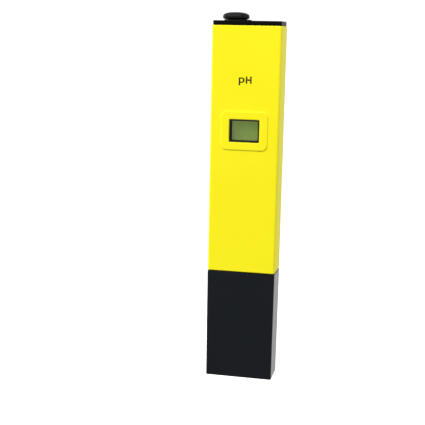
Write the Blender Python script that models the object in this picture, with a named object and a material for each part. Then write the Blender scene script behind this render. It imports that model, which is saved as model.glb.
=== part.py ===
"""Pocket pH tester: yellow sleeve, black probe cap, pull-out battery tray with a slide switch.

Frame: +Z up along the meter, front face towards -Y, +X to the right, origin at the centre of the cap's base.
Lengths are in metres. Run with: blender --background --python part.py
"""

from math import asin, cos, pi, radians, sin

import bmesh
import bpy
from mathutils import Matrix, Vector

MM = 0.001
GAP = 0.3 * MM  # clearance between pieces that touch or slide

# Outer envelope
CASE_WIDTH = 29.0 * MM
CASE_DEPTH = 14.2 * MM
CASE_WALL = 1.2 * MM
CASE_CORNER = 1.0 * MM
SEAM_Z = 46.8 * MM  # lower edge of the sleeve
CASE_TOP_Z = 149.6 * MM
PLATE_TOP_Z = 151.5 * MM
EDGE_BREAK = 0.2 * MM
PLATE_INSET = 0.3 * MM  # the tray's end plate is this much smaller than the sleeve on each side
END_CORNER = 0.6 * MM  # the cap's and the end plate's upright corners
INNER_CORNER = 0.7 * MM
BORE_WIDTH = CASE_WIDTH - 2 * CASE_WALL
BORE_DEPTH = CASE_DEPTH - 2 * CASE_WALL
PLUG_WIDTH = BORE_WIDTH - 2 * GAP  # whatever slides into the sleeve or the cap
PLUG_DEPTH = BORE_DEPTH - 2 * GAP
FRONT_Y = -CASE_DEPTH / 2
BACK_Y = CASE_DEPTH / 2
INNER_FRONT_Y = FRONT_Y + CASE_WALL

# Display window
WINDOW_Z = 106.7 * MM
WINDOW_WIDTH = 12.6 * MM
WINDOW_HEIGHT = 9.4 * MM
PAD_WIDTH = 19.8 * MM
PAD_HEIGHT = 16.2 * MM
PAD_CORNER = 2.5 * MM
PAD_RISE = 0.5 * MM
HOLDER_WIDTH = 23.0 * MM
HOLDER_HEIGHT = 14.8 * MM
HOLDER_THICKNESS = 1.7 * MM
COLLAR_CLEARANCE = 0.1 * MM
COLLAR_WALL = 0.5 * MM
PANE_SIZE = (20.0 * MM, 0.7 * MM, 12.4 * MM)
PANEL_SIZE = (21.0 * MM, 2.0 * MM, 13.6 * MM)
REFLECTOR_SIZE = (20.6 * MM, 0.2 * MM, 9.4 * MM)
STRIP_WIDTH = 19.0 * MM
STRIP_HEIGHT = 1.4 * MM

# Circuit board and what stands on it
BOARD_WIDTH = 25.6 * MM
BOARD_THICKNESS = 1.2 * MM
BOARD_FRONT_Y = 1.0 * MM
BOARD_BACK_Y = BOARD_FRONT_Y + BOARD_THICKNESS
BOARD_BOTTOM_Z = 62.0 * MM
BOARD_TOP_Z = 126.0 * MM
RAIL_WIDTH = 1.0 * MM
RAIL_REACH = 1.1 * MM
RAIL_TOP_Z = 116.0 * MM  # below the spring fingers
TRIMMER_X = 4.5 * MM
TRIMMER_Z = 88.0 * MM
TRIMMER_SIZE = 6.0 * MM
TRIMMER_HEIGHT = 2.8 * MM
TRIMMER_HOLE_RADIUS = 1.5 * MM
ROTOR_RADIUS = 1.7 * MM
ROTOR_HEIGHT = 1.2 * MM
BOARD_SCREW_X = 8.0 * MM
BOARD_SCREW_Z = 67.0 * MM
BOARD_SCREW_RADIUS = 0.8 * MM

# Probe block, electrode and cap
BLOCK_BOTTOM_Z = 38.5 * MM
BLOCK_TOP_Z = 58.0 * MM
TONGUE_TOP_Z = 71.0 * MM
ELECTRODE_TIP_Z = 8.5 * MM
ELECTRODE_SHOULDER_Z = 38.2 * MM
ELECTRODE_TOP_Z = 50.0 * MM
ELECTRODE_RADIUS = 5.3 * MM
ELECTRODE_BORE = 4.2 * MM
SPIGOT_RADIUS = 4.6 * MM
SPIGOT_BORE = 3.6 * MM
TIP_PLUG_Z = 17.0 * MM
TIP_PLUG_HEIGHT = 3.0 * MM
STEM_RADIUS = 1.8 * MM
GLASS_WALL = 0.4 * MM
BULB_RADIUS = 2.7 * MM
BULB_Z = 12.9 * MM
JUNCTION_OFFSET = 3.0 * MM
JUNCTION_RADIUS = 0.5 * MM
REFERENCE_OFFSET = 2.75 * MM
CAP_TOP_Z = SEAM_Z - GAP
CAP_FLOOR = 1.6 * MM
CAP_DRAFT = 0.2 * MM  # how much each side narrows towards the base

# Battery tray
PLATE_BOTTOM_Z = CASE_TOP_Z + 0.25 * MM
TRAY_BOTTOM_Z = 130.5 * MM
TRAY_WALL = 1.2 * MM
CELL_RADIUS = 5.7 * MM
CELL_HEIGHT = 5.1 * MM
CELL_PITCH = 5.3 * MM
CELL_COUNT = 4
CELL_Z = 138.1 * MM
CELL_BAY_RADIUS = CELL_RADIUS + 0.35 * MM
SWITCH_FLOOR_Z = 145.3 * MM
STRIP_THICKNESS = 0.3 * MM
BLADE_BOTTOM_Z = 127.3 * MM
FINGER_THICKNESS = 0.25 * MM

# Slide switch
SWITCH_TRAVEL = 1.5 * MM
KNOB_X = -5.85 * MM  # off position
SWITCH_X = KNOB_X + SWITCH_TRAVEL / 2
KNOB_LENGTH = 11.1 * MM
KNOB_WIDTH = 7.0 * MM
KNOB_TOP_Z = 155.0 * MM
COLLAR_LENGTH = 11.4 * MM
COLLAR_WIDTH = 6.6 * MM
COLLAR_TOP_Z = 151.95 * MM
FORK_LENGTH = 4.4 * MM
FORK_WIDTH = 2.6 * MM
FORK_BOTTOM_Z = 150.2 * MM
HOUSING_SIZE = (8.6 * MM, 3.8 * MM, 3.4 * MM)
HOUSING_TOP_Z = 149.5 * MM
SLIDER_WIDTH = 1.8 * MM


def clear_scene():
    for old in list(bpy.data.objects):
        bpy.data.objects.remove(old)


def new_material(name, colour, roughness, metallic=0.0, transmission=0.0):
    made = bpy.data.materials.new(name)
    made.use_nodes = True
    shader = made.node_tree.nodes["Principled BSDF"]
    shader.inputs["Base Color"].default_value = (*colour, 1.0)
    shader.inputs["Roughness"].default_value = roughness
    shader.inputs["Metallic"].default_value = metallic
    shader.inputs["Transmission Weight"].default_value = transmission
    made.diffuse_color = (*colour, 1.0)
    return made


def add_object(name, mesh_builder, material, origin=(0, 0, 0), smooth_angle=30):
    """Turn a bmesh given in world coordinates into an object whose origin is at the given point."""
    origin = Vector(origin)
    bmesh.ops.recalc_face_normals(mesh_builder, faces=mesh_builder.faces)
    bmesh.ops.translate(mesh_builder, verts=mesh_builder.verts, vec=-origin)
    mesh = bpy.data.meshes.new(name)
    mesh_builder.to_mesh(mesh)
    mesh_builder.free()
    mesh.shade_smooth()
    mesh.set_sharp_from_angle(angle=radians(smooth_angle))
    made = bpy.data.objects.new(name, mesh)
    made.location = origin
    bpy.context.collection.objects.link(made)
    if material:
        mesh.materials.append(material)
    return made


def add_cutter(name, mesh_builder):
    cutter = add_object(name, mesh_builder, None)
    cutter.hide_render = True
    cutter.display_type = "WIRE"
    return cutter


def combine(target, cutter, operation="DIFFERENCE"):
    modifier = target.modifiers.new(cutter.name, "BOOLEAN")
    modifier.operation = operation
    modifier.object = cutter
    modifier.solver = "EXACT"


def cut(target, name, mesh_builder):
    combine(target, add_cutter(target.name + "_" + name, mesh_builder))


def fuse(target, name, mesh_builder):
    combine(target, add_cutter(target.name + "_" + name, mesh_builder), "UNION")


def box(low, high):
    """A plain block between two corners."""
    mesh_builder = bmesh.new()
    size = Vector(high) - Vector(low)
    middle = (Vector(high) + Vector(low)) / 2
    place = Matrix.Translation(middle) @ Matrix.Diagonal((*size, 1.0))
    bmesh.ops.create_cube(mesh_builder, size=1.0, matrix=place)
    return mesh_builder


def block(centre, size):
    half = Vector(size) / 2
    return box(Vector(centre) - half, Vector(centre) + half)


def rounded_outline(width, depth, corner, steps=4):
    """Points of a rounded rectangle round the origin, anticlockwise."""
    points = []
    for quarter, (side_x, side_y) in enumerate([(1, 1), (-1, 1), (-1, -1), (1, -1)]):
        middle_x = side_x * (width / 2 - corner)
        middle_y = side_y * (depth / 2 - corner)
        for step in range(steps + 1):
            angle = (quarter + step / steps) * pi / 2
            points.append((middle_x + corner * cos(angle), middle_y + corner * sin(angle)))
    return points


def loft(rings, centre=(0, 0), along="Z"):
    """Skin a stack of (outline, height) rings. Along -Y, the outline lies in X and Z and height is -y."""
    mesh_builder = bmesh.new()
    layers = []
    for outline, height in rings:
        layer = [mesh_builder.verts.new((x + centre[0], y + centre[1], height)) for x, y in outline]
        layers.append(layer)
    for lower, upper in zip(layers, layers[1:]):
        for i in range(len(lower)):
            j = (i + 1) % len(lower)
            mesh_builder.faces.new((lower[i], lower[j], upper[j], upper[i]))
    mesh_builder.faces.new(list(reversed(layers[0])))
    mesh_builder.faces.new(layers[-1])
    if along == "-Y":
        turn = Matrix.Rotation(pi / 2, 4, "X")
        bmesh.ops.transform(mesh_builder, matrix=turn, verts=mesh_builder.verts)
    return mesh_builder


def prism(width, depth, corner, low_z, high_z, centre=(0, 0)):
    outline = rounded_outline(width, depth, corner)
    return loft([(outline, low_z), (outline, high_z)], centre)


def turned(profile, segments=24, closed=False, centre=(0, 0, 0), axis="Z"):
    """Turn a (radius, height) profile about the axis. A closed profile never touches the axis."""
    mesh_builder = bmesh.new()
    rings = []
    for radius, height in profile:
        if radius < 1e-7:
            rings.append([mesh_builder.verts.new((0, 0, height))])
            continue
        ring = []
        for i in range(segments):
            angle = 2 * pi * i / segments
            ring.append(mesh_builder.verts.new((radius * cos(angle), radius * sin(angle), height)))
        rings.append(ring)
    pairs = list(zip(rings, rings[1:]))
    if closed:
        pairs.append((rings[-1], rings[0]))
    for first, second in pairs:
        for i in range(segments):
            j = (i + 1) % segments
            corners = [first[i % len(first)], first[j % len(first)]]
            corners += [second[j % len(second)], second[i % len(second)]]
            mesh_builder.faces.new(list(dict.fromkeys(corners)))
    if axis == "X":
        turn = Matrix.Rotation(pi / 2, 4, "Y")
    elif axis == "Y":
        turn = Matrix.Rotation(-pi / 2, 4, "X")
    else:
        turn = Matrix.Identity(4)
    place = Matrix.Translation(centre) @ turn
    bmesh.ops.transform(mesh_builder, matrix=place, verts=mesh_builder.verts)
    return mesh_builder


def disc_profile(radius, low, high):
    return [(0, low), (radius, low), (radius, high), (0, high)]


def ring_profile(inner, outer, low, high):
    return [(inner, low), (outer, low), (outer, high), (inner, high)]


def ribbon(path, thickness, low_y, high_y):
    """A bent metal strip: its path lies in X and Z, and its width runs along Y."""
    mesh_builder = bmesh.new()
    sides = []
    for i, (x, z) in enumerate(path):
        before = path[max(i - 1, 0)]
        after = path[min(i + 1, len(path) - 1)]
        run_in = Vector((x - before[0], z - before[1]))
        run_out = Vector((after[0] - x, after[1] - z))
        run_in = run_in.normalized() if run_in.length else run_out.normalized()
        run_out = run_out.normalized() if run_out.length else run_in
        middle = (run_in + run_out).normalized()
        reach = thickness / 2 / max(middle.dot(run_in), 0.5)
        across = Vector((-middle.y, middle.x)) * reach
        corners = []
        for sign, y in ((1, low_y), (1, high_y), (-1, high_y), (-1, low_y)):
            corners.append(mesh_builder.verts.new((x + sign * across.x, y, z + sign * across.y)))
        sides.append(corners)
    for first, second in zip(sides, sides[1:]):
        for i in range(4):
            j = (i + 1) % 4
            mesh_builder.faces.new((first[i], first[j], second[j], second[i]))
    mesh_builder.faces.new(sides[0])
    mesh_builder.faces.new(list(reversed(sides[-1])))
    return mesh_builder


def wire(name, points, radius, material, resolution=2):
    """A round wire along a list of points, with closed ends."""
    curve = bpy.data.curves.new(name, "CURVE")
    curve.dimensions = "3D"
    curve.bevel_depth = radius
    curve.bevel_resolution = resolution
    curve.use_fill_caps = True
    spline = curve.splines.new("POLY")
    spline.points.add(len(points) - 1)
    for spot, point in zip(spline.points, points):
        spot.co = (*point, 1.0)
    curve.materials.append(material)
    made = bpy.data.objects.new(name, curve)
    bpy.context.collection.objects.link(made)
    return made


def smooth_path(control, count):
    """Points on a Bezier curve through four control points."""
    a, b, c, d = [Vector(point) for point in control]
    points = []
    for i in range(count + 1):
        t = i / count
        s = 1 - t
        points.append(a * s**3 + b * 3 * s * s * t + c * 3 * s * t * t + d * t**3)
    return points


def hold(name, place, pieces):
    """Parent the pieces of one moving body to an empty on its joint's axis."""
    pivot = bpy.data.objects.new(name, None)
    pivot.location = place
    bpy.context.collection.objects.link(pivot)
    for piece in pieces:
        piece.parent = pivot
        piece.matrix_parent_inverse = Matrix.Translation(-Vector(place))
    return pivot


def make_materials():
    return {
        "yellow": new_material("yellow_plastic", (0.95, 0.84, 0.02), 0.35),
        "black": new_material("black_plastic", (0.012, 0.012, 0.014), 0.3),
        "knob": new_material("knob_plastic", (0.022, 0.018, 0.021), 0.45),
        "display": new_material("display_glass", (0.14, 0.25, 0.08), 0.2),
        "clear": new_material("clear_plastic", (0.9, 0.95, 0.93), 0.05, transmission=0.9),
        "glass": new_material("electrode_glass", (0.9, 0.95, 0.96), 0.03, transmission=0.95),
        "foil": new_material("reflector_foil", (0.6, 0.62, 0.6), 0.3, 0.8),
        "elastomer": new_material("elastomer", (0.05, 0.05, 0.055), 0.7),
        "board": new_material("board_laminate", (0.02, 0.14, 0.05), 0.5),
        "resin": new_material("chip_resin", (0.01, 0.01, 0.01), 0.4),
        "trimmer": new_material("trimmer_blue", (0.03, 0.1, 0.4), 0.4),
        "brass": new_material("brass", (0.7, 0.5, 0.2), 0.35, 1.0),
        "spring": new_material("spring_metal", (0.75, 0.72, 0.66), 0.3, 1.0),
        "steel": new_material("cell_steel", (0.72, 0.72, 0.7), 0.25, 1.0),
        "silver": new_material("silver_wire", (0.8, 0.8, 0.78), 0.35, 1.0),
        "ceramic": new_material("junction_ceramic", (0.85, 0.83, 0.78), 0.8),
        "rubber": new_material("seal_rubber", (0.03, 0.03, 0.03), 0.8),
        "lead_red": new_material("lead_red", (0.5, 0.02, 0.02), 0.5),
        "lead_white": new_material("lead_white", (0.8, 0.8, 0.78), 0.5),
        "switch": new_material("switch_nylon", (0.75, 0.73, 0.68), 0.5),
    }


def make_sleeve(stuff):
    outer = rounded_outline(CASE_WIDTH, CASE_DEPTH, CASE_CORNER)
    broken = rounded_outline(
        CASE_WIDTH - 2 * EDGE_BREAK, CASE_DEPTH - 2 * EDGE_BREAK, CASE_CORNER - EDGE_BREAK
    )
    rings = [
        (broken, SEAM_Z),
        (outer, SEAM_Z + EDGE_BREAK),
        (outer, CASE_TOP_Z - EDGE_BREAK),
        (broken, CASE_TOP_Z),
    ]
    sleeve = add_object("case_sleeve", loft(rings), stuff["yellow"])
    pad = rounded_outline(PAD_WIDTH, PAD_HEIGHT, PAD_CORNER, 6)
    pad_face = rounded_outline(
        PAD_WIDTH - 2 * EDGE_BREAK, PAD_HEIGHT - 2 * EDGE_BREAK, PAD_CORNER - EDGE_BREAK, 6
    )
    pad_root = -FRONT_Y - CASE_WALL / 2
    pad_rings = [
        (pad, pad_root),
        (pad, -FRONT_Y + PAD_RISE - EDGE_BREAK),
        (pad_face, -FRONT_Y + PAD_RISE),
    ]
    fuse(sleeve, "pad", loft(pad_rings, (0, WINDOW_Z), "-Y"))
    past = 1.0 * MM
    bore = prism(BORE_WIDTH, BORE_DEPTH, INNER_CORNER, SEAM_Z - past, CASE_TOP_Z + past)
    cut(sleeve, "bore", bore)
    window = (WINDOW_WIDTH, 2 * (PAD_RISE + CASE_WALL) + past, WINDOW_HEIGHT)
    cut(sleeve, "window", block((0, FRONT_Y, WINDOW_Z), window))
    for side, label in ((-1, "offset"), (1, "slope")):
        hole = turned(
            disc_profile(TRIMMER_HOLE_RADIUS, -CASE_WALL - past, past),
            centre=(side * TRIMMER_X, BACK_Y, TRIMMER_Z),
            axis="Y",
        )
        cut(sleeve, label + "_hole", hole)
    root = 0.1 * MM  # how far a rail is sunk into the wall
    for side in (-1, 1):
        inner = side * (BORE_WIDTH / 2 - RAIL_REACH)
        outer_x = side * (BORE_WIDTH / 2 + root)
        rails = (
            ("front", BOARD_FRONT_Y - GAP - RAIL_WIDTH),
            ("back", BOARD_BACK_Y + GAP),
        )
        for label, rail_y in rails:
            rail = box(
                (min(inner, outer_x), rail_y, BOARD_BOTTOM_Z),
                (max(inner, outer_x), rail_y + RAIL_WIDTH, RAIL_TOP_Z),
            )
            fuse(sleeve, f"rail_{label}_{side}", rail)
    return [sleeve]


def make_display(stuff):
    holder_front = INNER_FRONT_Y + GAP
    holder_back = holder_front + HOLDER_THICKNESS
    collar_front = FRONT_Y - PAD_RISE + 0.25 * MM
    collar_width = WINDOW_WIDTH - 2 * COLLAR_CLEARANCE
    collar_height = WINDOW_HEIGHT - 2 * COLLAR_CLEARANCE
    holder = add_object(
        "lcd_holder",
        box(
            (-HOLDER_WIDTH / 2, holder_front, WINDOW_Z - HOLDER_HEIGHT / 2),
            (HOLDER_WIDTH / 2, holder_back, WINDOW_Z + HOLDER_HEIGHT / 2),
        ),
        stuff["black"],
    )
    collar = box(
        (-collar_width / 2, collar_front, WINDOW_Z - collar_height / 2),
        (collar_width / 2, holder_front + HOLDER_THICKNESS / 2, WINDOW_Z + collar_height / 2),
    )
    fuse(holder, "collar", collar)
    leg_inner = PANEL_SIZE[0] / 2 + GAP
    for side in (-1, 1):
        near, far = side * leg_inner, side * HOLDER_WIDTH / 2
        leg = box(
            (min(near, far), holder_front + HOLDER_THICKNESS / 2, WINDOW_Z - HOLDER_HEIGHT / 2),
            (max(near, far), BOARD_FRONT_Y - GAP, WINDOW_Z + HOLDER_HEIGHT / 2),
        )
        fuse(holder, f"leg_{side}", leg)
    sight = (
        collar_width - 2 * COLLAR_WALL,
        2 * (holder_back - collar_front),
        collar_height - 2 * COLLAR_WALL,
    )
    cut(holder, "sight", block((0, collar_front, WINDOW_Z), sight))

    pieces = [holder]
    face_y = holder_back
    layers = (
        ("lcd_window_pane", PANE_SIZE, "clear", GAP),
        ("lcd_panel", PANEL_SIZE, "display", GAP),
        ("lcd_reflector", REFLECTOR_SIZE, "foil", 0.1 * MM),
    )
    for name, size, material, gap in layers:
        middle_y = face_y + gap + size[1] / 2
        pieces.append(add_object(name, block((0, middle_y, WINDOW_Z), size), stuff[material]))
        face_y = middle_y + size[1] / 2
    panel_back = holder_back + 2 * GAP + PANE_SIZE[1] + PANEL_SIZE[1]
    strip_offset = PANEL_SIZE[2] / 2 - STRIP_HEIGHT / 2
    squeeze = 0.15 * MM
    for side, label in ((1, "upper"), (-1, "lower")):
        low = (-STRIP_WIDTH / 2, panel_back + squeeze, WINDOW_Z + side * strip_offset - STRIP_HEIGHT / 2)
        high = (STRIP_WIDTH / 2, BOARD_FRONT_Y - squeeze, low[2] + STRIP_HEIGHT)
        pieces.append(add_object(f"contact_strip_{label}", box(low, high), stuff["elastomer"]))
    return pieces


def make_board(stuff):
    board = add_object(
        "circuit_board",
        box(
            (-BOARD_WIDTH / 2, BOARD_FRONT_Y, BOARD_BOTTOM_Z),
            (BOARD_WIDTH / 2, BOARD_BACK_Y, BOARD_TOP_Z),
        ),
        stuff["board"],
    )
    for side in (-1, 1):
        hole = turned(
            disc_profile(BOARD_SCREW_RADIUS + GAP, -GAP, BOARD_THICKNESS + GAP),
            16,
            centre=(side * BOARD_SCREW_X, BOARD_FRONT_Y, BOARD_SCREW_Z),
            axis="Y",
        )
        cut(board, f"hole_{side}", hole)
    pieces = [board]
    seat = BOARD_BACK_Y + 0.1 * MM

    blob_radius, blob_height = 4.5 * MM, 1.3 * MM
    blob = [(0, 0), (blob_radius, 0)]
    for step in range(1, 5):
        angle = step / 5 * pi / 2
        blob.append((blob_radius * cos(angle), blob_height * sin(angle)))
    blob.append((0, blob_height))
    chip = turned(blob, centre=(0, seat, WINDOW_Z), axis="Y")
    pieces.append(add_object("converter_chip", chip, stuff["resin"], smooth_angle=60))

    parts = (
        ("amplifier_chip", (0.0, 78.5), (5.0, 1.6, 4.0), "resin"),
        ("capacitor_filter", (-7.5, 78.5), (2.6, 1.8, 3.4), "brass"),
        ("capacitor_supply", (8.0, 98.5), (2.6, 1.8, 3.4), "brass"),
        ("resistor_feedback", (6.5, 79.5), (1.6, 0.6, 3.2), "resin"),
        ("resistor_divider", (-8.5, 98.5), (1.6, 0.6, 3.2), "resin"),
        ("resistor_bias", (9.5, 79.5), (1.6, 0.6, 3.2), "resin"),
    )
    for name, (x, z), size, material in parts:
        width, height, length = [value * MM for value in size]
        low = (x * MM - width / 2, seat, z * MM - length / 2)
        high = (x * MM + width / 2, seat + height, z * MM + length / 2)
        pieces.append(add_object(name, box(low, high), stuff[material]))

    finger_paths = {
        "right": [(10.6, 117.5), (10.6, 123.0), (10.85, 126.5), (11.0, 129.0), (10.7, 130.1)],
        "left": [(-11.9, 117.5), (-11.9, 123.0), (-12.2, 126.5), (-12.42, 129.0), (-12.1, 130.1)],
    }
    finger_width = 3.3 * MM
    for label, path in finger_paths.items():
        points = [(x * MM, z * MM) for x, z in path]
        finger = ribbon(points, FINGER_THICKNESS, BOARD_FRONT_Y - GAP - finger_width, BOARD_FRONT_Y - GAP)
        pieces.append(add_object(f"board_finger_{label}", finger, stuff["spring"]))

    head_radius, head_height = 1.7 * MM, 1.1 * MM
    shank_end = BOARD_BACK_Y + 2.6 * MM - BOARD_FRONT_Y
    profile = [
        (0, -GAP - head_height),
        (head_radius * 0.7, -GAP - head_height),
        (head_radius, -GAP - head_height * 0.5),
        (head_radius, -GAP),
        (BOARD_SCREW_RADIUS, -GAP),
        (BOARD_SCREW_RADIUS, shank_end),
        (0, shank_end),
    ]
    for side, label in ((-1, "left"), (1, "right")):
        screw = turned(
            profile, 16, centre=(side * BOARD_SCREW_X, BOARD_FRONT_Y, BOARD_SCREW_Z), axis="Y"
        )
        pieces.append(add_object(f"board_screw_{label}", screw, stuff["steel"]))
    return pieces


def make_trimmers(stuff):
    seat = BOARD_BACK_Y + 0.1 * MM
    well_depth = 1.3 * MM
    rotor_base = seat + TRIMMER_HEIGHT - well_depth + GAP
    slot_width, slot_depth = 0.6 * MM, 0.5 * MM
    for side, label in ((-1, "offset"), (1, "slope")):
        x = side * TRIMMER_X
        body = add_object(
            f"trimmer_{label}_body",
            block(
                (x, seat + TRIMMER_HEIGHT / 2, TRIMMER_Z),
                (TRIMMER_SIZE, TRIMMER_HEIGHT, TRIMMER_SIZE),
            ),
            stuff["trimmer"],
        )
        well = turned(
            disc_profile(ROTOR_RADIUS + GAP, -well_depth, GAP),
            centre=(x, seat + TRIMMER_HEIGHT, TRIMMER_Z),
            axis="Y",
        )
        cut(body, "well", well)
        axle = (x, rotor_base, TRIMMER_Z)
        rotor = add_object(
            f"trimmer_{label}_screw",
            turned(disc_profile(ROTOR_RADIUS, 0, ROTOR_HEIGHT), centre=axle, axis="Y"),
            stuff["brass"],
            origin=axle,
        )
        slot = (slot_width, 2 * slot_depth, 3 * ROTOR_RADIUS)
        cut(rotor, "slot", block((x, rotor_base + ROTOR_HEIGHT, TRIMMER_Z), slot))


def make_probe(stuff):
    past = 1.0 * MM
    block_piece = add_object(
        "probe_block",
        prism(PLUG_WIDTH, PLUG_DEPTH, INNER_CORNER, BLOCK_BOTTOM_Z, BLOCK_TOP_Z),
        stuff["black"],
    )
    tongue_half = 11.0 * MM
    tongue_depth = 2.8 * MM
    tongue = box(
        (-tongue_half, BOARD_BACK_Y + GAP, BLOCK_TOP_Z - past),
        (tongue_half, BOARD_BACK_Y + GAP + tongue_depth, TONGUE_TOP_Z),
    )
    fuse(block_piece, "tongue", tongue)
    wire_way = 3.5 * MM
    stop_z = ELECTRODE_TOP_Z + GAP
    channel = [
        (0, BLOCK_BOTTOM_Z - past),
        (SPIGOT_RADIUS + 0.25 * MM, BLOCK_BOTTOM_Z - past),
        (SPIGOT_RADIUS + 0.25 * MM, stop_z),
        (wire_way, stop_z),
        (wire_way, BLOCK_TOP_Z + past),
        (0, BLOCK_TOP_Z + past),
    ]
    cut(block_piece, "channel", turned(channel))
    for side in (-1, 1):
        hole = turned(
            disc_profile(BOARD_SCREW_RADIUS + GAP, -past, tongue_depth + past),
            16,
            centre=(side * BOARD_SCREW_X, BOARD_BACK_Y + GAP, BOARD_SCREW_Z),
            axis="Y",
        )
        cut(block_piece, f"pilot_{side}", hole)

    tube = [
        (ELECTRODE_BORE, ELECTRODE_TIP_Z),
        (ELECTRODE_RADIUS - 0.4 * MM, ELECTRODE_TIP_Z),
        (ELECTRODE_RADIUS, ELECTRODE_TIP_Z + 0.4 * MM),
        (ELECTRODE_RADIUS, ELECTRODE_SHOULDER_Z),
        (SPIGOT_RADIUS, ELECTRODE_SHOULDER_Z),
        (SPIGOT_RADIUS, ELECTRODE_TOP_Z),
        (SPIGOT_BORE, ELECTRODE_TOP_Z),
        (SPIGOT_BORE, ELECTRODE_SHOULDER_Z - past),
        (ELECTRODE_BORE, ELECTRODE_SHOULDER_Z - past),
    ]
    body = add_object("electrode_body", turned(tube, 32, closed=True), stuff["black"])
    slot_width, slot_top = 3.2 * MM, TIP_PLUG_Z - 1.0 * MM
    reach = ELECTRODE_RADIUS + past
    slot_z = (ELECTRODE_TIP_Z - past, slot_top)
    slots = (
        ("x", (-reach, -slot_width / 2), (reach, slot_width / 2)),
        ("y", (-slot_width / 2, -reach), (slot_width / 2, reach)),
    )
    for label, low, high in slots:
        cut(body, "slot_" + label, box((*low, slot_z[0]), (*high, slot_z[1])))

    plug_profile = ring_profile(
        STEM_RADIUS + 0.25 * MM,
        ELECTRODE_BORE - 0.2 * MM,
        TIP_PLUG_Z,
        TIP_PLUG_Z + TIP_PLUG_HEIGHT,
    )
    plug = add_object("electrode_tip_plug", turned(plug_profile, closed=True), stuff["black"])
    junction_hole = turned(
        disc_profile(JUNCTION_RADIUS + 0.1 * MM, TIP_PLUG_Z - past, TIP_PLUG_Z + TIP_PLUG_HEIGHT + past),
        12,
        centre=(JUNCTION_OFFSET, 0, 0),
    )
    cut(plug, "junction_hole", junction_hole)
    junction = add_object(
        "reference_junction",
        turned(
            disc_profile(JUNCTION_RADIUS, TIP_PLUG_Z - 0.2 * MM, TIP_PLUG_Z + TIP_PLUG_HEIGHT),
            12,
            centre=(JUNCTION_OFFSET, 0, 0),
        ),
        stuff["ceramic"],
    )

    stem_top = ELECTRODE_TOP_Z + 1.0 * MM
    steps = 6
    start = pi - asin(STEM_RADIUS / BULB_RADIUS)
    outer = []
    inner = []
    for step in range(steps + 1):
        angle = start * step / steps
        outer.append((BULB_RADIUS * sin(angle), BULB_Z - BULB_RADIUS * cos(angle)))
    inner_radius = BULB_RADIUS - GLASS_WALL
    inner_start = pi - asin((STEM_RADIUS - GLASS_WALL) / inner_radius)
    for step in range(steps + 1):
        angle = inner_start * step / steps
        inner.append((inner_radius * sin(angle), BULB_Z - inner_radius * cos(angle)))
    outline = outer + [(STEM_RADIUS, stem_top), (STEM_RADIUS - GLASS_WALL, stem_top)]
    outline += list(reversed(inner))
    glass = add_object("glass_electrode", turned(outline), stuff["glass"], smooth_angle=50)

    seal_low, seal_high = ELECTRODE_TOP_Z - 3.0 * MM, ELECTRODE_TOP_Z - GAP
    seal_profile = ring_profile(STEM_RADIUS + 0.15 * MM, SPIGOT_BORE - 0.15 * MM, seal_low, seal_high)
    seal = add_object("electrode_seal", turned(seal_profile, closed=True), stuff["rubber"])
    wire_hole = turned(
        disc_profile(0.45 * MM, seal_low - past, seal_high + past), 12, centre=(REFERENCE_OFFSET, 0, 0)
    )
    cut(seal, "wire_hole", wire_hole)

    silver_top = ELECTRODE_TOP_Z + 2.5 * MM
    silver = add_object(
        "silver_wire", turned(disc_profile(0.3 * MM, BULB_Z, silver_top), 12), stuff["silver"]
    )
    reference = add_object(
        "reference_wire",
        turned(disc_profile(0.25 * MM, 24.0 * MM, silver_top), 12, centre=(REFERENCE_OFFSET, 0, 0)),
        stuff["silver"],
    )

    lead_radius = 0.45 * MM
    lead_start = silver_top + GAP
    pad_y = BOARD_FRONT_Y - GAP - lead_radius
    pad_z = BOARD_BOTTOM_Z + 10.0 * MM
    leads = []
    routes = (
        ("lead_measuring", 0.0, -2.5 * MM, "lead_white"),
        ("lead_reference", REFERENCE_OFFSET, 3.5 * MM, "lead_red"),
    )
    for name, from_x, to_x, material in routes:
        rise = 6.0 * MM
        route = smooth_path(
            (
                (from_x, 0, lead_start),
                (from_x, 0, lead_start + rise),
                (to_x, pad_y, pad_z - rise),
                (to_x, pad_y, pad_z),
            ),
            14,
        )
        leads.append(wire(name, route, lead_radius, stuff[material]))
    return [block_piece, body, plug, junction, glass, seal, silver, reference, *leads]


def make_cap(stuff):
    def outline(inset, corner):
        return rounded_outline(CASE_WIDTH - 2 * inset, CASE_DEPTH - 2 * inset, corner)

    rings = [
        (outline(CAP_DRAFT + EDGE_BREAK, END_CORNER - EDGE_BREAK), 0.0),
        (outline(CAP_DRAFT, END_CORNER), EDGE_BREAK),
        (outline(0.0, END_CORNER), CAP_TOP_Z),
    ]
    cap = add_object("probe_cap", loft(rings), stuff["black"])
    past = 1.0 * MM
    floor = rounded_outline(BORE_WIDTH - 2 * CAP_DRAFT, BORE_DEPTH - 2 * CAP_DRAFT, INNER_CORNER)
    mouth = rounded_outline(BORE_WIDTH, BORE_DEPTH, INNER_CORNER)
    cut(cap, "hollow", loft([(floor, CAP_FLOOR), (mouth, CAP_TOP_Z), (mouth, CAP_TOP_Z + past)]))
    return [cap]


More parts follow.
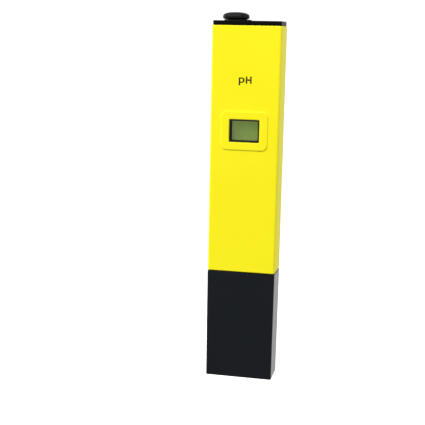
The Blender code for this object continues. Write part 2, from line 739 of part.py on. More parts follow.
def make_tray(stuff):
    past = 1.0 * MM
    width = CASE_WIDTH - 2 * PLATE_INSET
    depth = CASE_DEPTH - 2 * PLATE_INSET
    edge = rounded_outline(width, depth, END_CORNER)
    face = rounded_outline(width - 2 * EDGE_BREAK, depth - 2 * EDGE_BREAK, END_CORNER - EDGE_BREAK)
    plate_rings = [(edge, PLATE_BOTTOM_Z), (edge, PLATE_TOP_Z - EDGE_BREAK), (face, PLATE_TOP_Z)]
    tray = add_object("battery_tray", loft(plate_rings), stuff["black"], (0, 0, PLATE_BOTTOM_Z))
    sink = 0.5 * MM
    core = prism(PLUG_WIDTH, PLUG_DEPTH, INNER_CORNER, TRAY_BOTTOM_Z, PLATE_BOTTOM_Z + sink)
    fuse(tray, "core", core)
    collar = prism(
        COLLAR_LENGTH,
        COLLAR_WIDTH,
        COLLAR_WIDTH / 2 - EDGE_BREAK,
        PLATE_TOP_Z - sink,
        COLLAR_TOP_Z,
        (SWITCH_X, 0),
    )
    fuse(tray, "collar", collar)

    inner_half = PLUG_WIDTH / 2 - TRAY_WALL
    cradle = turned(
        disc_profile(CELL_BAY_RADIUS, -inner_half, inner_half), 32, centre=(0, 0, CELL_Z), axis="X"
    )
    cut(tray, "cradle", cradle)
    bay = box(
        (-inner_half, -CASE_DEPTH, CELL_Z - CELL_BAY_RADIUS),
        (inner_half, 0, CELL_Z + CELL_BAY_RADIUS),
    )
    cut(tray, "bay", bay)
    chamber = box(
        (-inner_half, -PLUG_DEPTH / 2 + TRAY_WALL, SWITCH_FLOOR_Z),
        (inner_half, CASE_DEPTH, PLATE_BOTTOM_Z),
    )
    cut(tray, "chamber", chamber)
    slot_half = (FORK_LENGTH + SWITCH_TRAVEL) / 2 + 0.35 * MM
    slot_width = FORK_WIDTH / 2 + 0.35 * MM
    slot = box(
        (SWITCH_X - slot_half, -slot_width, PLATE_BOTTOM_Z - past),
        (SWITCH_X + slot_half, slot_width, COLLAR_TOP_Z + past),
    )
    cut(tray, "slot", slot)

    contact_half = 3.0 * MM
    room = 0.25 * MM
    plate_x = inner_half - GAP - STRIP_THICKNESS / 2
    passage = (STRIP_THICKNESS + 2 * room, 2 * (contact_half + room))
    floor_slot = block((plate_x, 0, TRAY_BOTTOM_Z), (*passage, 6.0 * MM))
    cut(tray, "floor_slot", floor_slot)
    divider_z = (SWITCH_FLOOR_Z + CELL_Z + CELL_BAY_RADIUS) / 2
    cut(tray, "divider_slot", block((-plate_x, 0, divider_z), (*passage, 4.0 * MM)))
    outer_x = PLUG_WIDTH / 2 - STRIP_THICKNESS / 2 - 0.05 * MM
    outer_half = 1.5 * MM
    strip_top = SWITCH_FLOOR_Z + 2.3 * MM
    groove = box(
        (-PLUG_WIDTH / 2 - past, -outer_half - room, TRAY_BOTTOM_Z - past),
        (-outer_x + STRIP_THICKNESS / 2 + room, outer_half + room, strip_top + room + STRIP_THICKNESS),
    )
    cut(tray, "groove", groove)
    port = box(
        (-PLUG_WIDTH / 2 - past, -outer_half - room, strip_top - room - STRIP_THICKNESS),
        (-inner_half + past, outer_half + room, strip_top + room + STRIP_THICKNESS),
    )
    cut(tray, "port", port)

    pieces = [tray]
    contact_low = CELL_Z - 4.5 * MM
    strips = (
        (
            "contact_positive",
            [(plate_x, BLADE_BOTTOM_Z), (plate_x, CELL_Z + 4.5 * MM)],
            contact_half,
        ),
        (
            "contact_negative",
            [
                (-plate_x, contact_low),
                (-plate_x, SWITCH_FLOOR_Z + 0.4 * MM),
                (SWITCH_X - 1.5 * MM, SWITCH_FLOOR_Z + 0.4 * MM),
            ],
            contact_half,
        ),
        (
            "contact_switched",
            [
                (-outer_x, BLADE_BOTTOM_Z),
                (-outer_x, strip_top),
                (SWITCH_X - HOUSING_SIZE[0] / 2 - GAP, strip_top),
            ],
            outer_half,
        ),
    )
    for name, path, half in strips:
        strip = ribbon(path, STRIP_THICKNESS, -half, half)
        pieces.append(add_object(name, strip, stuff["spring"]))

    edge = 0.5 * MM
    stack_end = plate_x - STRIP_THICKNESS / 2 - 0.2 * MM
    for number in range(CELL_COUNT):
        right = stack_end - number * CELL_PITCH
        left = right - CELL_HEIGHT
        profile = [
            (0, left),
            (CELL_RADIUS - 1.2 * MM, left),
            (CELL_RADIUS - 1.0 * MM, left + 0.2 * MM),
            (CELL_RADIUS - edge, left + 0.2 * MM),
            (CELL_RADIUS, left + 0.2 * MM + edge),
            (CELL_RADIUS, right - edge),
            (CELL_RADIUS - edge, right),
            (0, right),
        ]
        cell = turned(profile, centre=(0, 0, CELL_Z), axis="X")
        pieces.append(add_object(f"button_cell_{number + 1}", cell, stuff["steel"]))
    wire_radius = 0.18 * MM
    spring_from = -plate_x + STRIP_THICKNESS / 2 + wire_radius + 0.12 * MM
    spring_to = stack_end - CELL_COUNT * CELL_PITCH + (CELL_PITCH - CELL_HEIGHT) - wire_radius - 0.1 * MM
    turns, per_turn = 2.25, 14
    count = int(turns * per_turn)
    coil = []
    for i in range(count + 1):
        t = i / count
        angle = 2 * pi * turns * t
        radius = (3.0 - 1.4 * t) * MM
        x = spring_from + (spring_to - spring_from) * t
        coil.append((x, radius * cos(angle), CELL_Z + radius * sin(angle)))
    pieces.append(wire("cell_spring", coil, wire_radius, stuff["spring"], 1))

    housing_low = HOUSING_TOP_Z - HOUSING_SIZE[2]
    housing = add_object(
        "switch_housing",
        block((SWITCH_X, 0, HOUSING_TOP_Z - HOUSING_SIZE[2] / 2), HOUSING_SIZE),
        stuff["switch"],
    )
    guide_half = (SLIDER_WIDTH + SWITCH_TRAVEL) / 2 + 0.35 * MM
    guide = box(
        (SWITCH_X - guide_half, -SLIDER_WIDTH / 2 - GAP, housing_low + 1.1 * MM),
        (SWITCH_X + guide_half, SLIDER_WIDTH / 2 + GAP, HOUSING_TOP_Z + past),
    )
    cut(housing, "guide", guide)
    pieces.append(housing)
    return pieces


def make_switch(stuff):
    """The thumb knob with its fork, and the slider that the fork carries."""
    profile = (  # (height above the widest edge, inset from it)
        (-0.4, 0.45),
        (0.0, 0.0),
        (1.0, 0.2),
        (1.45, 0.5),
        (1.8, 1.1),
        (2.15, 2.15),
        (2.35, 3.1),
    )
    rim_z = KNOB_TOP_Z - profile[-1][0] * MM
    rings = []
    corner = KNOB_WIDTH / 2 - 0.05 * MM
    for height, inset in profile:
        outline = rounded_outline(
            KNOB_LENGTH - 2 * inset * MM, KNOB_WIDTH - 2 * inset * MM, corner - inset * MM, 6
        )
        rings.append((outline, rim_z + height * MM))
    knob_origin = (KNOB_X, 0, rim_z)
    knob = add_object("switch_knob", loft(rings, (KNOB_X, 0)), stuff["knob"], knob_origin, 35)
    fork = block(
        (KNOB_X, 0, (FORK_BOTTOM_Z + rim_z + 0.5 * MM) / 2),
        (FORK_LENGTH, FORK_WIDTH, rim_z + 0.5 * MM - FORK_BOTTOM_Z),
    )
    fuse(knob, "fork", fork)
    pocket_top = FORK_BOTTOM_Z + 1.5 * MM
    pocket = box(
        (KNOB_X - SLIDER_WIDTH / 2 - GAP, -FORK_WIDTH, FORK_BOTTOM_Z - 1.0 * MM),
        (KNOB_X + SLIDER_WIDTH / 2 + GAP, FORK_WIDTH, pocket_top),
    )
    cut(knob, "pocket", pocket)
    slider_low = HOUSING_TOP_Z - HOUSING_SIZE[2] + 1.1 * MM + GAP
    slider = add_object(
        "switch_slider",
        box(
            (KNOB_X - SLIDER_WIDTH / 2, -SLIDER_WIDTH / 2, slider_low),
            (KNOB_X + SLIDER_WIDTH / 2, SLIDER_WIDTH / 2, pocket_top - GAP),
        ),
        stuff["switch"],
        knob_origin,
    )
    return [knob, slider], knob_origin


def main():
    clear_scene()
    stuff = make_materials()
    make_sleeve(stuff)
    make_display(stuff)
    make_board(stuff)
    make_trimmers(stuff)
    make_probe(stuff)
    hold("probe_cap_slide", (0, 0, 0), make_cap(stuff))
    tray_pivot = hold("battery_tray_slide", (0, 0, PLATE_BOTTOM_Z), make_tray(stuff))
    knob_pieces, knob_origin = make_switch(stuff)
    switch_pivot = hold("switch_slide", knob_origin, knob_pieces)
    switch_pivot.parent = tray_pivot
    switch_pivot.matrix_parent_inverse = Matrix.Translation(-tray_pivot.location)


main()
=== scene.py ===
# Pocket pH tester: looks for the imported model, in metres, in the model's own frame.
import math

import bpy
from mathutils import Matrix, Vector


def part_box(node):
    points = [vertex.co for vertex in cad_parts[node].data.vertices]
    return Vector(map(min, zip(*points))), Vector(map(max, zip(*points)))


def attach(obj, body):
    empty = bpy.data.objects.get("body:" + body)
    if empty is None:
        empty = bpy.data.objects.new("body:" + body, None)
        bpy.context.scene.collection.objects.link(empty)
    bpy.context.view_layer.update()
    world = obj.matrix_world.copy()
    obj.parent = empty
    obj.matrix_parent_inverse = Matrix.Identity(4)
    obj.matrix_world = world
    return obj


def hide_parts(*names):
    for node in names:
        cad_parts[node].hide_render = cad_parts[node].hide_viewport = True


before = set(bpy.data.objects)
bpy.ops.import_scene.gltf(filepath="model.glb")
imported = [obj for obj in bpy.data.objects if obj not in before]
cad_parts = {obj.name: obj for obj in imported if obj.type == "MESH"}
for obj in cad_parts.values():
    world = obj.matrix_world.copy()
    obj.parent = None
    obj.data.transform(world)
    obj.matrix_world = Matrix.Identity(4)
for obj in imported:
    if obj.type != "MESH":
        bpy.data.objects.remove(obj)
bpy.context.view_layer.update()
mm = 0.001


# selecting and shaping, as by hand

def deselectAll():
    bpy.ops.object.select_all(action="DESELECT")


def useOnly(piece):
    deselectAll()
    piece.select_set(True)
    bpy.context.view_layer.objects.active = piece


def settle(piece):
    # place, turn and size go into the mesh
    useOnly(piece)
    bpy.ops.object.transform_apply(location=True, rotation=True, scale=True)
    return piece


def addBlock(name, low, high):
    low, high = Vector(low), Vector(high)
    deselectAll()
    bpy.ops.mesh.primitive_cube_add(size=1, location=(low + high) / 2)
    piece = bpy.context.object
    piece.name = name
    piece.scale = high - low
    return settle(piece)


def addCentredBlock(name, centre, size):
    half = Vector(size) / 2
    return addBlock(name, Vector(centre) - half, Vector(centre) + half)


turns = {"X": (0, math.pi / 2, 0), "Y": (-math.pi / 2, 0, 0), "Z": (0, 0, 0)}


def addRod(name, centre, radius, length, axis="Z", sides=48):
    # a cylinder whose middle is at the centre
    deselectAll()
    bpy.ops.mesh.primitive_cylinder_add(
        vertices=sides, radius=radius, depth=length, location=centre, rotation=turns[axis]
    )
    piece = bpy.context.object
    piece.name = name
    return settle(piece)


def pick(piece, kind, test):
    # selects the vertices, edges or faces that pass the test, and enters edit mode
    useOnly(piece)
    mesh = piece.data
    bpy.context.tool_settings.mesh_select_mode = (kind == "VERT", kind == "EDGE", kind == "FACE")
    for group in (mesh.vertices, mesh.edges, mesh.polygons):
        for item in group:
            item.select = False
    if kind == "VERT":
        for vertex in mesh.vertices:
            vertex.select = test(vertex.co)
    elif kind == "EDGE":
        for edge in mesh.edges:
            a, b = [mesh.vertices[i].co for i in edge.vertices]
            edge.select = test(a, b)
    else:
        for face in mesh.polygons:
            face.select = test(face.center, face.normal)
    bpy.ops.object.mode_set(mode="EDIT")


def leaveEdit():
    bpy.ops.object.mode_set(mode="OBJECT")


def bevelEdges(piece, test, width, steps=3):
    pick(piece, "EDGE", test)
    bpy.ops.mesh.bevel(offset=width, offset_type="OFFSET", segments=steps, profile=0.5, affect="EDGES")
    leaveEdit()


def near(a, b, room=1e-6):
    return abs(a - b) < room


def alongAxis(axis):
    # a test for edges that run along one axis
    i = "XYZ".index(axis)

    def test(a, b):
        run = b - a
        return abs(run[i]) > 0.999 * run.length > 0

    return test


def atHeight(axis, place):
    # a test for edges that lie in one plane across the axis
    i = "XYZ".index(axis)
    return lambda a, b: near(a[i], place) and near(b[i], place)


def applyModifier(piece, kind, **settings):
    useOnly(piece)
    modifier = piece.modifiers.new(kind.lower(), kind)
    for key, value in settings.items():
        setattr(modifier, key, value)
    bpy.ops.object.modifier_apply(modifier=modifier.name)


def carve(piece, cutter, operation="DIFFERENCE"):
    applyModifier(piece, "BOOLEAN", operation=operation, object=cutter, solver="EXACT")
    bpy.data.objects.remove(cutter)


def join(piece, other):
    carve(piece, other, "UNION")


def softenEdges(piece, width, steps=2, angle=40):
    applyModifier(
        piece, "BEVEL", width=width, segments=steps, limit_method="ANGLE",
        angle_limit=math.radians(angle), use_clamp_overlap=True,
    )


def mergeDoubles(piece, distance=1e-7):
    pick(piece, "VERT", lambda place: True)
    bpy.ops.mesh.remove_doubles(threshold=distance)
    leaveEdit()


def shade(piece, angle=32):
    useOnly(piece)
    bpy.ops.object.shade_smooth_by_angle(angle=math.radians(angle))
    applyModifier(piece, "WEIGHTED_NORMAL", keep_sharp=True, weight=60)


def addRoundedBlock(name, low, high, corner, axis="Z", steps=8):
    # a block whose edges along one axis are rounded
    piece = addBlock(name, low, high)
    bevelEdges(piece, alongAxis(axis), corner, steps)
    return piece


def addPath(name, points):
    # one vertex, extruded from point to point
    deselectAll()
    bpy.ops.mesh.primitive_plane_add(size=mm)
    piece = bpy.context.object
    piece.name = name
    bpy.context.tool_settings.mesh_select_mode = (True, False, False)
    bpy.ops.object.mode_set(mode="EDIT")
    bpy.ops.mesh.select_all(action="SELECT")
    bpy.ops.mesh.merge(type="CENTER")
    bpy.ops.transform.translate(value=points[0])
    for start, end in zip(points, points[1:]):
        step = Vector(end) - Vector(start)
        bpy.ops.mesh.extrude_vertices_move(TRANSFORM_OT_translate={"value": step})
    leaveEdit()
    return piece


def addTurned(name, profile, centre=(0, 0, 0), axis="Z", steps=48):
    # (radius, height) points spun round the axis
    piece = addPath(name, [(radius, 0, height) for radius, height in profile])
    pick(piece, "VERT", lambda place: True)
    bpy.ops.mesh.spin(steps=steps, angle=2 * math.pi, center=(0, 0, 0), axis=(0, 0, 1))
    bpy.ops.mesh.select_all(action="SELECT")
    bpy.ops.mesh.remove_doubles(threshold=1e-6)
    bpy.ops.mesh.normals_make_consistent(inside=False)
    leaveEdit()
    piece.location = centre
    piece.rotation_euler = turns[axis]
    return settle(piece)


def addRibbon(name, path, low, high, thickness, bend=0.35 * mm):
    # a strip of sheet metal: (x, z) points, drawn out along Y, its bends rounded
    piece = addPath(name, [(x, low, z) for x, z in path])
    pick(piece, "VERT", lambda place: True)
    bpy.ops.mesh.extrude_region_move(TRANSFORM_OT_translate={"value": (0, high - low, 0)})
    leaveEdit()
    ends = (Vector((path[0][0], 0, path[0][1])), Vector((path[-1][0], 0, path[-1][1])))

    def isBend(a, b):
        flat = Vector((a.x, 0, a.z))
        across = near(a.x, b.x) and near(a.z, b.z)
        return across and all((flat - end).length > 1e-6 for end in ends)

    bevelEdges(piece, isBend, bend, 4)
    pick(piece, "FACE", lambda centre, normal: True)
    bpy.ops.mesh.normals_make_consistent(inside=False)
    leaveEdit()
    applyModifier(piece, "SOLIDIFY", thickness=thickness, offset=0, use_even_offset=True)
    return piece


def addWire(name, points, radius):
    # round wire along the points
    deselectAll()
    bpy.ops.curve.primitive_bezier_curve_add()
    piece = bpy.context.object
    piece.name = name
    curve = piece.data
    curve.splines.clear()
    spline = curve.splines.new("BEZIER")
    spline.bezier_points.add(len(points) - 1)
    for knot, place in zip(spline.bezier_points, points):
        knot.co = place
        knot.handle_left_type = knot.handle_right_type = "AUTO"
    curve.resolution_u = 2
    curve.bevel_depth = radius
    curve.bevel_resolution = 4
    curve.use_fill_caps = True
    useOnly(piece)
    bpy.ops.object.convert(target="MESH")
    piece = bpy.context.object
    mergeDoubles(piece)
    return piece


def weld(pieces):
    # several closed shapes kept as one piece
    deselectAll()
    for piece in pieces:
        piece.select_set(True)
    bpy.context.view_layer.objects.active = pieces[0]
    bpy.ops.object.join()
    return pieces[0]


def copyPiece(piece, name, shift):
    # a copy with its own mesh, moved along
    useOnly(piece)
    bpy.ops.object.duplicate(linked=False)
    copied = bpy.context.object
    copied.name = name
    copied.location = shift
    return settle(copied)


def finishPiece(piece, material, body, slotName, *nodes):
    piece.data.materials.clear()
    piece.data.materials.append(materials[material])
    if nodes:
        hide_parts(*nodes)
    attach(piece, body)


# shader groups

def newGroup(name, inputs, outputs):
    group = bpy.data.node_groups.new(name, "ShaderNodeTree")
    kinds = {"value": "NodeSocketFloat", "colour": "NodeSocketColor", "vector": "NodeSocketVector"}
    for label, kind, value in inputs:
        socket = group.interface.new_socket(name=label, in_out="INPUT", socket_type=kinds[kind])
        socket.default_value = value
    for label, kind in outputs:
        group.interface.new_socket(name=label, in_out="OUTPUT", socket_type=kinds[kind])
    return group


def addNode(tree, kind, inputs=None, **settings):
    node = tree.nodes.new(kind)
    for key, value in settings.items():
        setattr(node, key, value)
    for key, value in (inputs or {}).items():
        if isinstance(value, bpy.types.NodeSocket):
            tree.links.new(value, node.inputs[key])
        else:
            node.inputs[key].default_value = value
    return node


def objectPlace(tree):
    return addNode(tree, "ShaderNodeTexCoord").outputs["Object"]


def noise(tree, place, scale, detail):
    inputs = {"Vector": place, "Scale": scale, "Detail": detail}
    return addNode(tree, "ShaderNodeTexNoise", inputs).outputs["Fac"]


def remap(tree, value, low, high, toLow=0.0, toHigh=1.0, kind="LINEAR"):
    inputs = {"Value": value, "From Min": low, "From Max": high, "To Min": toLow, "To Max": toHigh}
    return addNode(tree, "ShaderNodeMapRange", inputs, interpolation_type=kind).outputs["Result"]


def compute(tree, operation, *values, **settings):
    inputs = dict(enumerate(values))
    return addNode(tree, "ShaderNodeMath", inputs, operation=operation, **settings).outputs[0]


def mixColour(tree, factor, a, b):
    inputs = {"Factor": factor, "A": a, "B": b}
    return addNode(tree, "ShaderNodeMix", inputs, data_type="RGBA").outputs["Result"]


def addBump(tree, height, strength, distance):
    inputs = {"Height": height, "Strength": strength, "Distance": distance}
    return addNode(tree, "ShaderNodeBump", inputs).outputs["Normal"]


surfaceOutputs = [("Colour", "colour"), ("Roughness", "value"), ("Normal", "vector")]


def makeMouldedSurface():
    # moulded plastic: a slow tone drift, a fine satin grain, and faint handling marks
    group = newGroup(
        "mouldedSurface",
        [
            ("Colour", "colour", (0.8, 0.8, 0.8, 1)),
            ("Drift Colour", "colour", (0.7, 0.7, 0.7, 1)),
            ("Roughness", "value", 0.35),
            ("Roughness Spread", "value", 0.08),
            ("Grain Size", "value", 0.0004),
            ("Grain Depth", "value", 0.02),
            ("Marks", "value", 0.2),
        ],
        surfaceOutputs,
    )
    start = addNode(group, "NodeGroupInput").outputs
    place = objectPlace(group)
    drift = remap(group, noise(group, place, 28.0, 3.0), 0.35, 0.7, kind="SMOOTHSTEP")
    colour = mixColour(group, drift, start["Colour"], start["Drift Colour"])
    grain = noise(group, place, compute(group, "DIVIDE", 1.0, start["Grain Size"]), 2.0)
    upright = {"Vector": place, "Scale": (900.0, 900.0, 60.0)}  # handling marks run up and down
    stretched = addNode(group, "ShaderNodeMapping", upright).outputs[0]
    scuffMask = remap(group, noise(group, stretched, 1.0, 4.0), 0.6, 0.78)
    scuffs = compute(group, "MULTIPLY", scuffMask, start["Marks"])
    cloud = compute(group, "SUBTRACT", noise(group, place, 160.0, 3.0), 0.5)
    uneven = compute(group, "ADD", cloud, scuffs)
    rough = compute(group, "MULTIPLY_ADD", uneven, start["Roughness Spread"], start["Roughness"])
    height = compute(group, "SUBTRACT", grain, scuffs)
    normal = addBump(group, height, start["Grain Depth"], 0.00005)
    addNode(group, "NodeGroupOutput", {"Colour": colour, "Roughness": rough, "Normal": normal})
    return group


def makeMetalSurface():
    # rolled or drawn metal: fine lines along one way, and a tarnish that gathers in patches
    group = newGroup(
        "metalSurface",
        [
            ("Colour", "colour", (0.7, 0.7, 0.7, 1)),
            ("Tarnish", "colour", (0.5, 0.45, 0.35, 1)),
            ("Tarnish Share", "value", 0.3),
            ("Roughness", "value", 0.25),
            ("Line Scale", "vector", (4000.0, 200.0, 4000.0)),
            ("Line Depth", "value", 0.05),
        ],
        surfaceOutputs,
    )
    start = addNode(group, "NodeGroupInput").outputs
    place = objectPlace(group)
    stretched = addNode(
        group, "ShaderNodeVectorMath", {0: place, 1: start["Line Scale"]}, operation="MULTIPLY"
    ).outputs[0]
    lines = noise(group, stretched, 1.0, 3.0)
    patches = remap(group, noise(group, place, 420.0, 5.0), 0.45, 0.75)
    share = compute(group, "MULTIPLY", patches, start["Tarnish Share"])
    colour = mixColour(group, share, start["Colour"], start["Tarnish"])
    rough = compute(group, "MULTIPLY_ADD", share, 0.35, start["Roughness"])
    normal = addBump(group, lines, start["Line Depth"], 0.00003)
    addNode(group, "NodeGroupOutput", {"Colour": colour, "Roughness": rough, "Normal": normal})
    return group


def makeEdgeWearAndSheen():
    # 1 on rounded outer edges, 0 on flats; the paler edge colour mixed in with it is partly rubbed wear and
    # partly a painted highlight
    group = newGroup("edgeWearAndSheen", [("Width", "value", 0.0004), ("Gain", "value", 6.0)], [("Mask", "value")])
    start = addNode(group, "NodeGroupInput").outputs
    rounded = addNode(group, "ShaderNodeBevel", {"Radius": start["Width"]}, samples=4).outputs[0]
    normal = addNode(group, "ShaderNodeNewGeometry").outputs["Normal"]
    match = addNode(group, "ShaderNodeVectorMath", {0: rounded, 1: normal}, operation="DOT_PRODUCT")
    turned = compute(group, "SUBTRACT", 1.0, match.outputs["Value"])
    mask = compute(group, "MULTIPLY", turned, start["Gain"], use_clamp=True)
    addNode(group, "NodeGroupOutput", {"Mask": mask})
    return group


mouldedSurface = makeMouldedSurface()
metalSurface = makeMetalSurface()
edgeWearAndSheen = makeEdgeWearAndSheen()


# materials

def newMaterial(name, fixed):
    material = bpy.data.materials.new(name)
    material.use_nodes = True
    shader = material.node_tree.nodes["Principled BSDF"]
    for key, value in fixed.items():
        shader.inputs[key].default_value = value
    return material, material.node_tree, shader


def useGroup(tree, group, values):
    return addNode(tree, "ShaderNodeGroup", values, node_tree=group).outputs


def feed(tree, shader, outputs):
    for source, target in (("Colour", "Base Color"), ("Roughness", "Roughness"), ("Normal", "Normal")):
        tree.links.new(outputs[source], shader.inputs[target])


def rgb(r, g, b):
    return (r, g, b, 1.0)


plasticDefaults = {
    "edgeWidth": 0.0002, "edgeGain": 2.0, "spread": 0.1, "grainSize": 0.0002, "grainDepth": 0.2, "marks": 0.1,
    "fixed": {},
}
plasticRecipes = {
    "yellowCase": {
        # its pale edge colour is a painted highlight along the rounded edges and the pad's rim
        "colour": (0.955, 0.86, 0.016), "edgeWearAndSheenColour": (0.98, 0.92, 0.12), "drift": (0.94, 0.835, 0.013),
        "edgeWidth": 0.0006, "edgeGain": 3.0, "roughness": 0.42, "grainSize": 0.00035, "grainDepth": 0.12,
        "marks": 0.25, "fixed": {"IOR": 1.17},
    },
    "capBlack": {
        "colour": (0.0042, 0.0062, 0.0088), "edgeWearAndSheenColour": (0.009, 0.011, 0.014),
        "drift": (0.005, 0.007, 0.0096), "edgeWidth": 0.0003, "edgeGain": 3.0, "roughness": 0.14,
        "spread": 0.08, "grainSize": 0.0005, "grainDepth": 0.05, "marks": 0.5, "fixed": {"IOR": 1.43},
    },
    "trayBlack": {
        "colour": (0.0016, 0.002, 0.0012), "edgeWearAndSheenColour": (0.01, 0.012, 0.009),
        "drift": (0.0024, 0.003, 0.002), "edgeWidth": 0.0003, "edgeGain": 3.0, "roughness": 0.42,
        "grainSize": 0.0003, "marks": 0.3, "fixed": {"IOR": 1.16},
    },
    "probeBlack": {
        "colour": (0.007, 0.007, 0.008), "edgeWearAndSheenColour": (0.02, 0.02, 0.021), "drift": (0.009, 0.009, 0.01),
        "edgeWidth": 0.0003, "edgeGain": 3.0, "roughness": 0.42, "grainSize": 0.0003, "grainDepth": 0.3,
        "marks": 0.4, "fixed": {"IOR": 1.45},
    },
    "holderBlack": {
        "colour": (0.003, 0.003, 0.003), "edgeWearAndSheenColour": (0.01, 0.01, 0.01), "drift": (0.004, 0.004, 0.004),
        "roughness": 0.6, "grainSize": 0.00025, "grainDepth": 0.3, "fixed": {"IOR": 1.4},
    },
    "knobGrey": {
        "colour": (0.0035, 0.0032, 0.0034), "edgeWearAndSheenColour": (0.008, 0.0075, 0.0078),
        "drift": (0.005, 0.0046, 0.0048), "edgeWidth": 0.0003, "roughness": 0.45, "spread": 0.15,
        "grainSize": 0.00025, "grainDepth": 0.4, "marks": 0.5, "fixed": {"IOR": 1.24},
    },
    "boardMask": {
        "colour": (0.012, 0.12, 0.035), "edgeWearAndSheenColour": (0.25, 0.28, 0.12), "drift": (0.015, 0.14, 0.045),
        "edgeWidth": 0.0003, "edgeGain": 3.0, "roughness": 0.35,
        "fixed": {"Coat Weight": 0.4, "Coat Roughness": 0.15},
    },
    "chipResin": {
        "colour": (0.009, 0.009, 0.0095), "edgeWearAndSheenColour": (0.02, 0.02, 0.02),
        "drift": (0.012, 0.012, 0.012), "roughness": 0.5, "spread": 0.15, "grainSize": 0.0001,
        "grainDepth": 0.5,
    },
    "trimmerBlue": {
        "colour": (0.015, 0.07, 0.36), "edgeWearAndSheenColour": (0.05, 0.14, 0.48), "drift": (0.014, 0.06, 0.31),
        "roughness": 0.35,
    },
    "switchNylon": {
        "colour": (0.72, 0.7, 0.62), "edgeWearAndSheenColour": (0.8, 0.78, 0.72), "drift": (0.68, 0.65, 0.56),
        "roughness": 0.45, "fixed": {"Subsurface Weight": 0.1, "Subsurface Radius": (0.0008, 0.0006, 0.0004)},
    },
    "sealRubber": {
        "colour": (0.02, 0.02, 0.02), "edgeWearAndSheenColour": (0.035, 0.035, 0.035), "drift": (0.026, 0.026, 0.025),
        "roughness": 0.75, "grainSize": 0.00015, "grainDepth": 0.5,
    },
    "junctionCeramic": {
        "colour": (0.78, 0.75, 0.68), "edgeWearAndSheenColour": (0.85, 0.82, 0.76), "drift": (0.7, 0.66, 0.58),
        "edgeWidth": 0.0001, "roughness": 0.85, "grainSize": 0.00008, "grainDepth": 0.9,
    },
    "capacitorTan": {
        "colour": (0.42, 0.29, 0.16), "edgeWearAndSheenColour": (0.5, 0.37, 0.22), "drift": (0.36, 0.24, 0.13),
        "edgeWidth": 0.0001, "roughness": 0.5, "grainSize": 0.00012, "grainDepth": 0.4,
    },
    "leadWhite": {
        "colour": (0.75, 0.74, 0.7), "edgeWearAndSheenColour": (0.8, 0.8, 0.78), "drift": (0.7, 0.68, 0.62),
        "edgeWidth": 0.0001, "edgeGain": 1.0, "roughness": 0.45,
    },
    "leadRed": {
        "colour": (0.45, 0.012, 0.01), "edgeWearAndSheenColour": (0.5, 0.03, 0.02), "drift": (0.38, 0.01, 0.01),
        "edgeWidth": 0.0001, "edgeGain": 1.0, "roughness": 0.45,
    },
    "printInk": {
        "colour": (0.012, 0.009, 0.002), "edgeWearAndSheenColour": (0.02, 0.016, 0.004), "drift": (0.02, 0.015, 0.004),
        "edgeWidth": 0.0001, "edgeGain": 1.0, "roughness": 0.55, "fixed": {"IOR": 1.15},
    },
}
metalRecipes = {
    "springMetal": {
        "colour": (0.78, 0.74, 0.66), "tarnish": (0.5, 0.42, 0.3), "share": 0.4,
        "roughness": 0.22, "lines": (3000.0, 3000.0, 250.0), "depth": 0.1,
    },
    "cellSteel": {
        "colour": (0.76, 0.76, 0.74), "tarnish": (0.5, 0.48, 0.44), "share": 0.25,
        "roughness": 0.18, "lines": (300.0, 3500.0, 3500.0), "depth": 0.12,
    },
    "screwSteel": {
        "colour": (0.62, 0.62, 0.6), "tarnish": (0.35, 0.33, 0.3), "share": 0.3,
        "roughness": 0.28, "lines": (2500.0, 200.0, 2500.0), "depth": 0.1,
    },
    "trimmerBrass": {
        "colour": (0.72, 0.52, 0.2), "tarnish": (0.4, 0.26, 0.1), "share": 0.4,
        "roughness": 0.28, "lines": (3000.0, 300.0, 3000.0), "depth": 0.1,
    },
    "silverWire": {
        "colour": (0.8, 0.79, 0.76), "tarnish": (0.22, 0.2, 0.2), "share": 0.6,
        "roughness": 0.3, "lines": (3000.0, 3000.0, 200.0), "depth": 0.15,
    },
    "padGold": {
        "colour": (0.85, 0.6, 0.25), "tarnish": (0.5, 0.32, 0.12), "share": 0.3,
        "roughness": 0.3, "lines": (800.0, 800.0, 3000.0), "depth": 0.15,
    },
    "reflectorFoil": {
        "colour": (0.6, 0.62, 0.58), "tarnish": (0.5, 0.5, 0.45), "share": 0.2,
        "roughness": 0.35, "lines": (200.0, 3000.0, 3000.0), "depth": 0.2,
    },
}


def makePlastic(name, recipe):
    recipe = {**plasticDefaults, **recipe}
    material, tree, shader = newMaterial(name, recipe["fixed"])
    wearAndSheen = useGroup(tree, edgeWearAndSheen, {"Width": recipe["edgeWidth"], "Gain": recipe["edgeGain"]})
    # paler rounded edges: partly rubbed wear, partly a painted highlight
    edged = mixColour(tree, wearAndSheen["Mask"], rgb(*recipe["colour"]), rgb(*recipe["edgeWearAndSheenColour"]))
    surface = useGroup(
        tree, mouldedSurface,
        {
            "Colour": edged,
            "Drift Colour": rgb(*recipe["drift"]),
            "Roughness": recipe["roughness"],
            "Roughness Spread": recipe["spread"],
            "Grain Size": recipe["grainSize"],
            "Grain Depth": recipe["grainDepth"],
            "Marks": recipe["marks"],
        },
    )
    feed(tree, shader, surface)
    return material


def makeMetal(name, recipe):
    material, tree, shader = newMaterial(name, {"Metallic": 1.0})
    surface = useGroup(
        tree, metalSurface,
        {
            "Colour": rgb(*recipe["colour"]),
            "Tarnish": rgb(*recipe["tarnish"]),
            "Tarnish Share": recipe["share"],
            "Roughness": recipe["roughness"],
            "Line Scale": recipe["lines"],
            "Line Depth": recipe["depth"],
        },
    )
    feed(tree, shader, surface)
    return material


displayTones = {
    "face": rgb(0.048, 0.075, 0.0115),
    "cloud": rgb(0.055, 0.082, 0.0145),
    "paintedLightBand": rgb(0.07, 0.093, 0.033),
    # strength of the painted glow; the display has no lamp of its own
    "paintedGlow": 1.9,
}


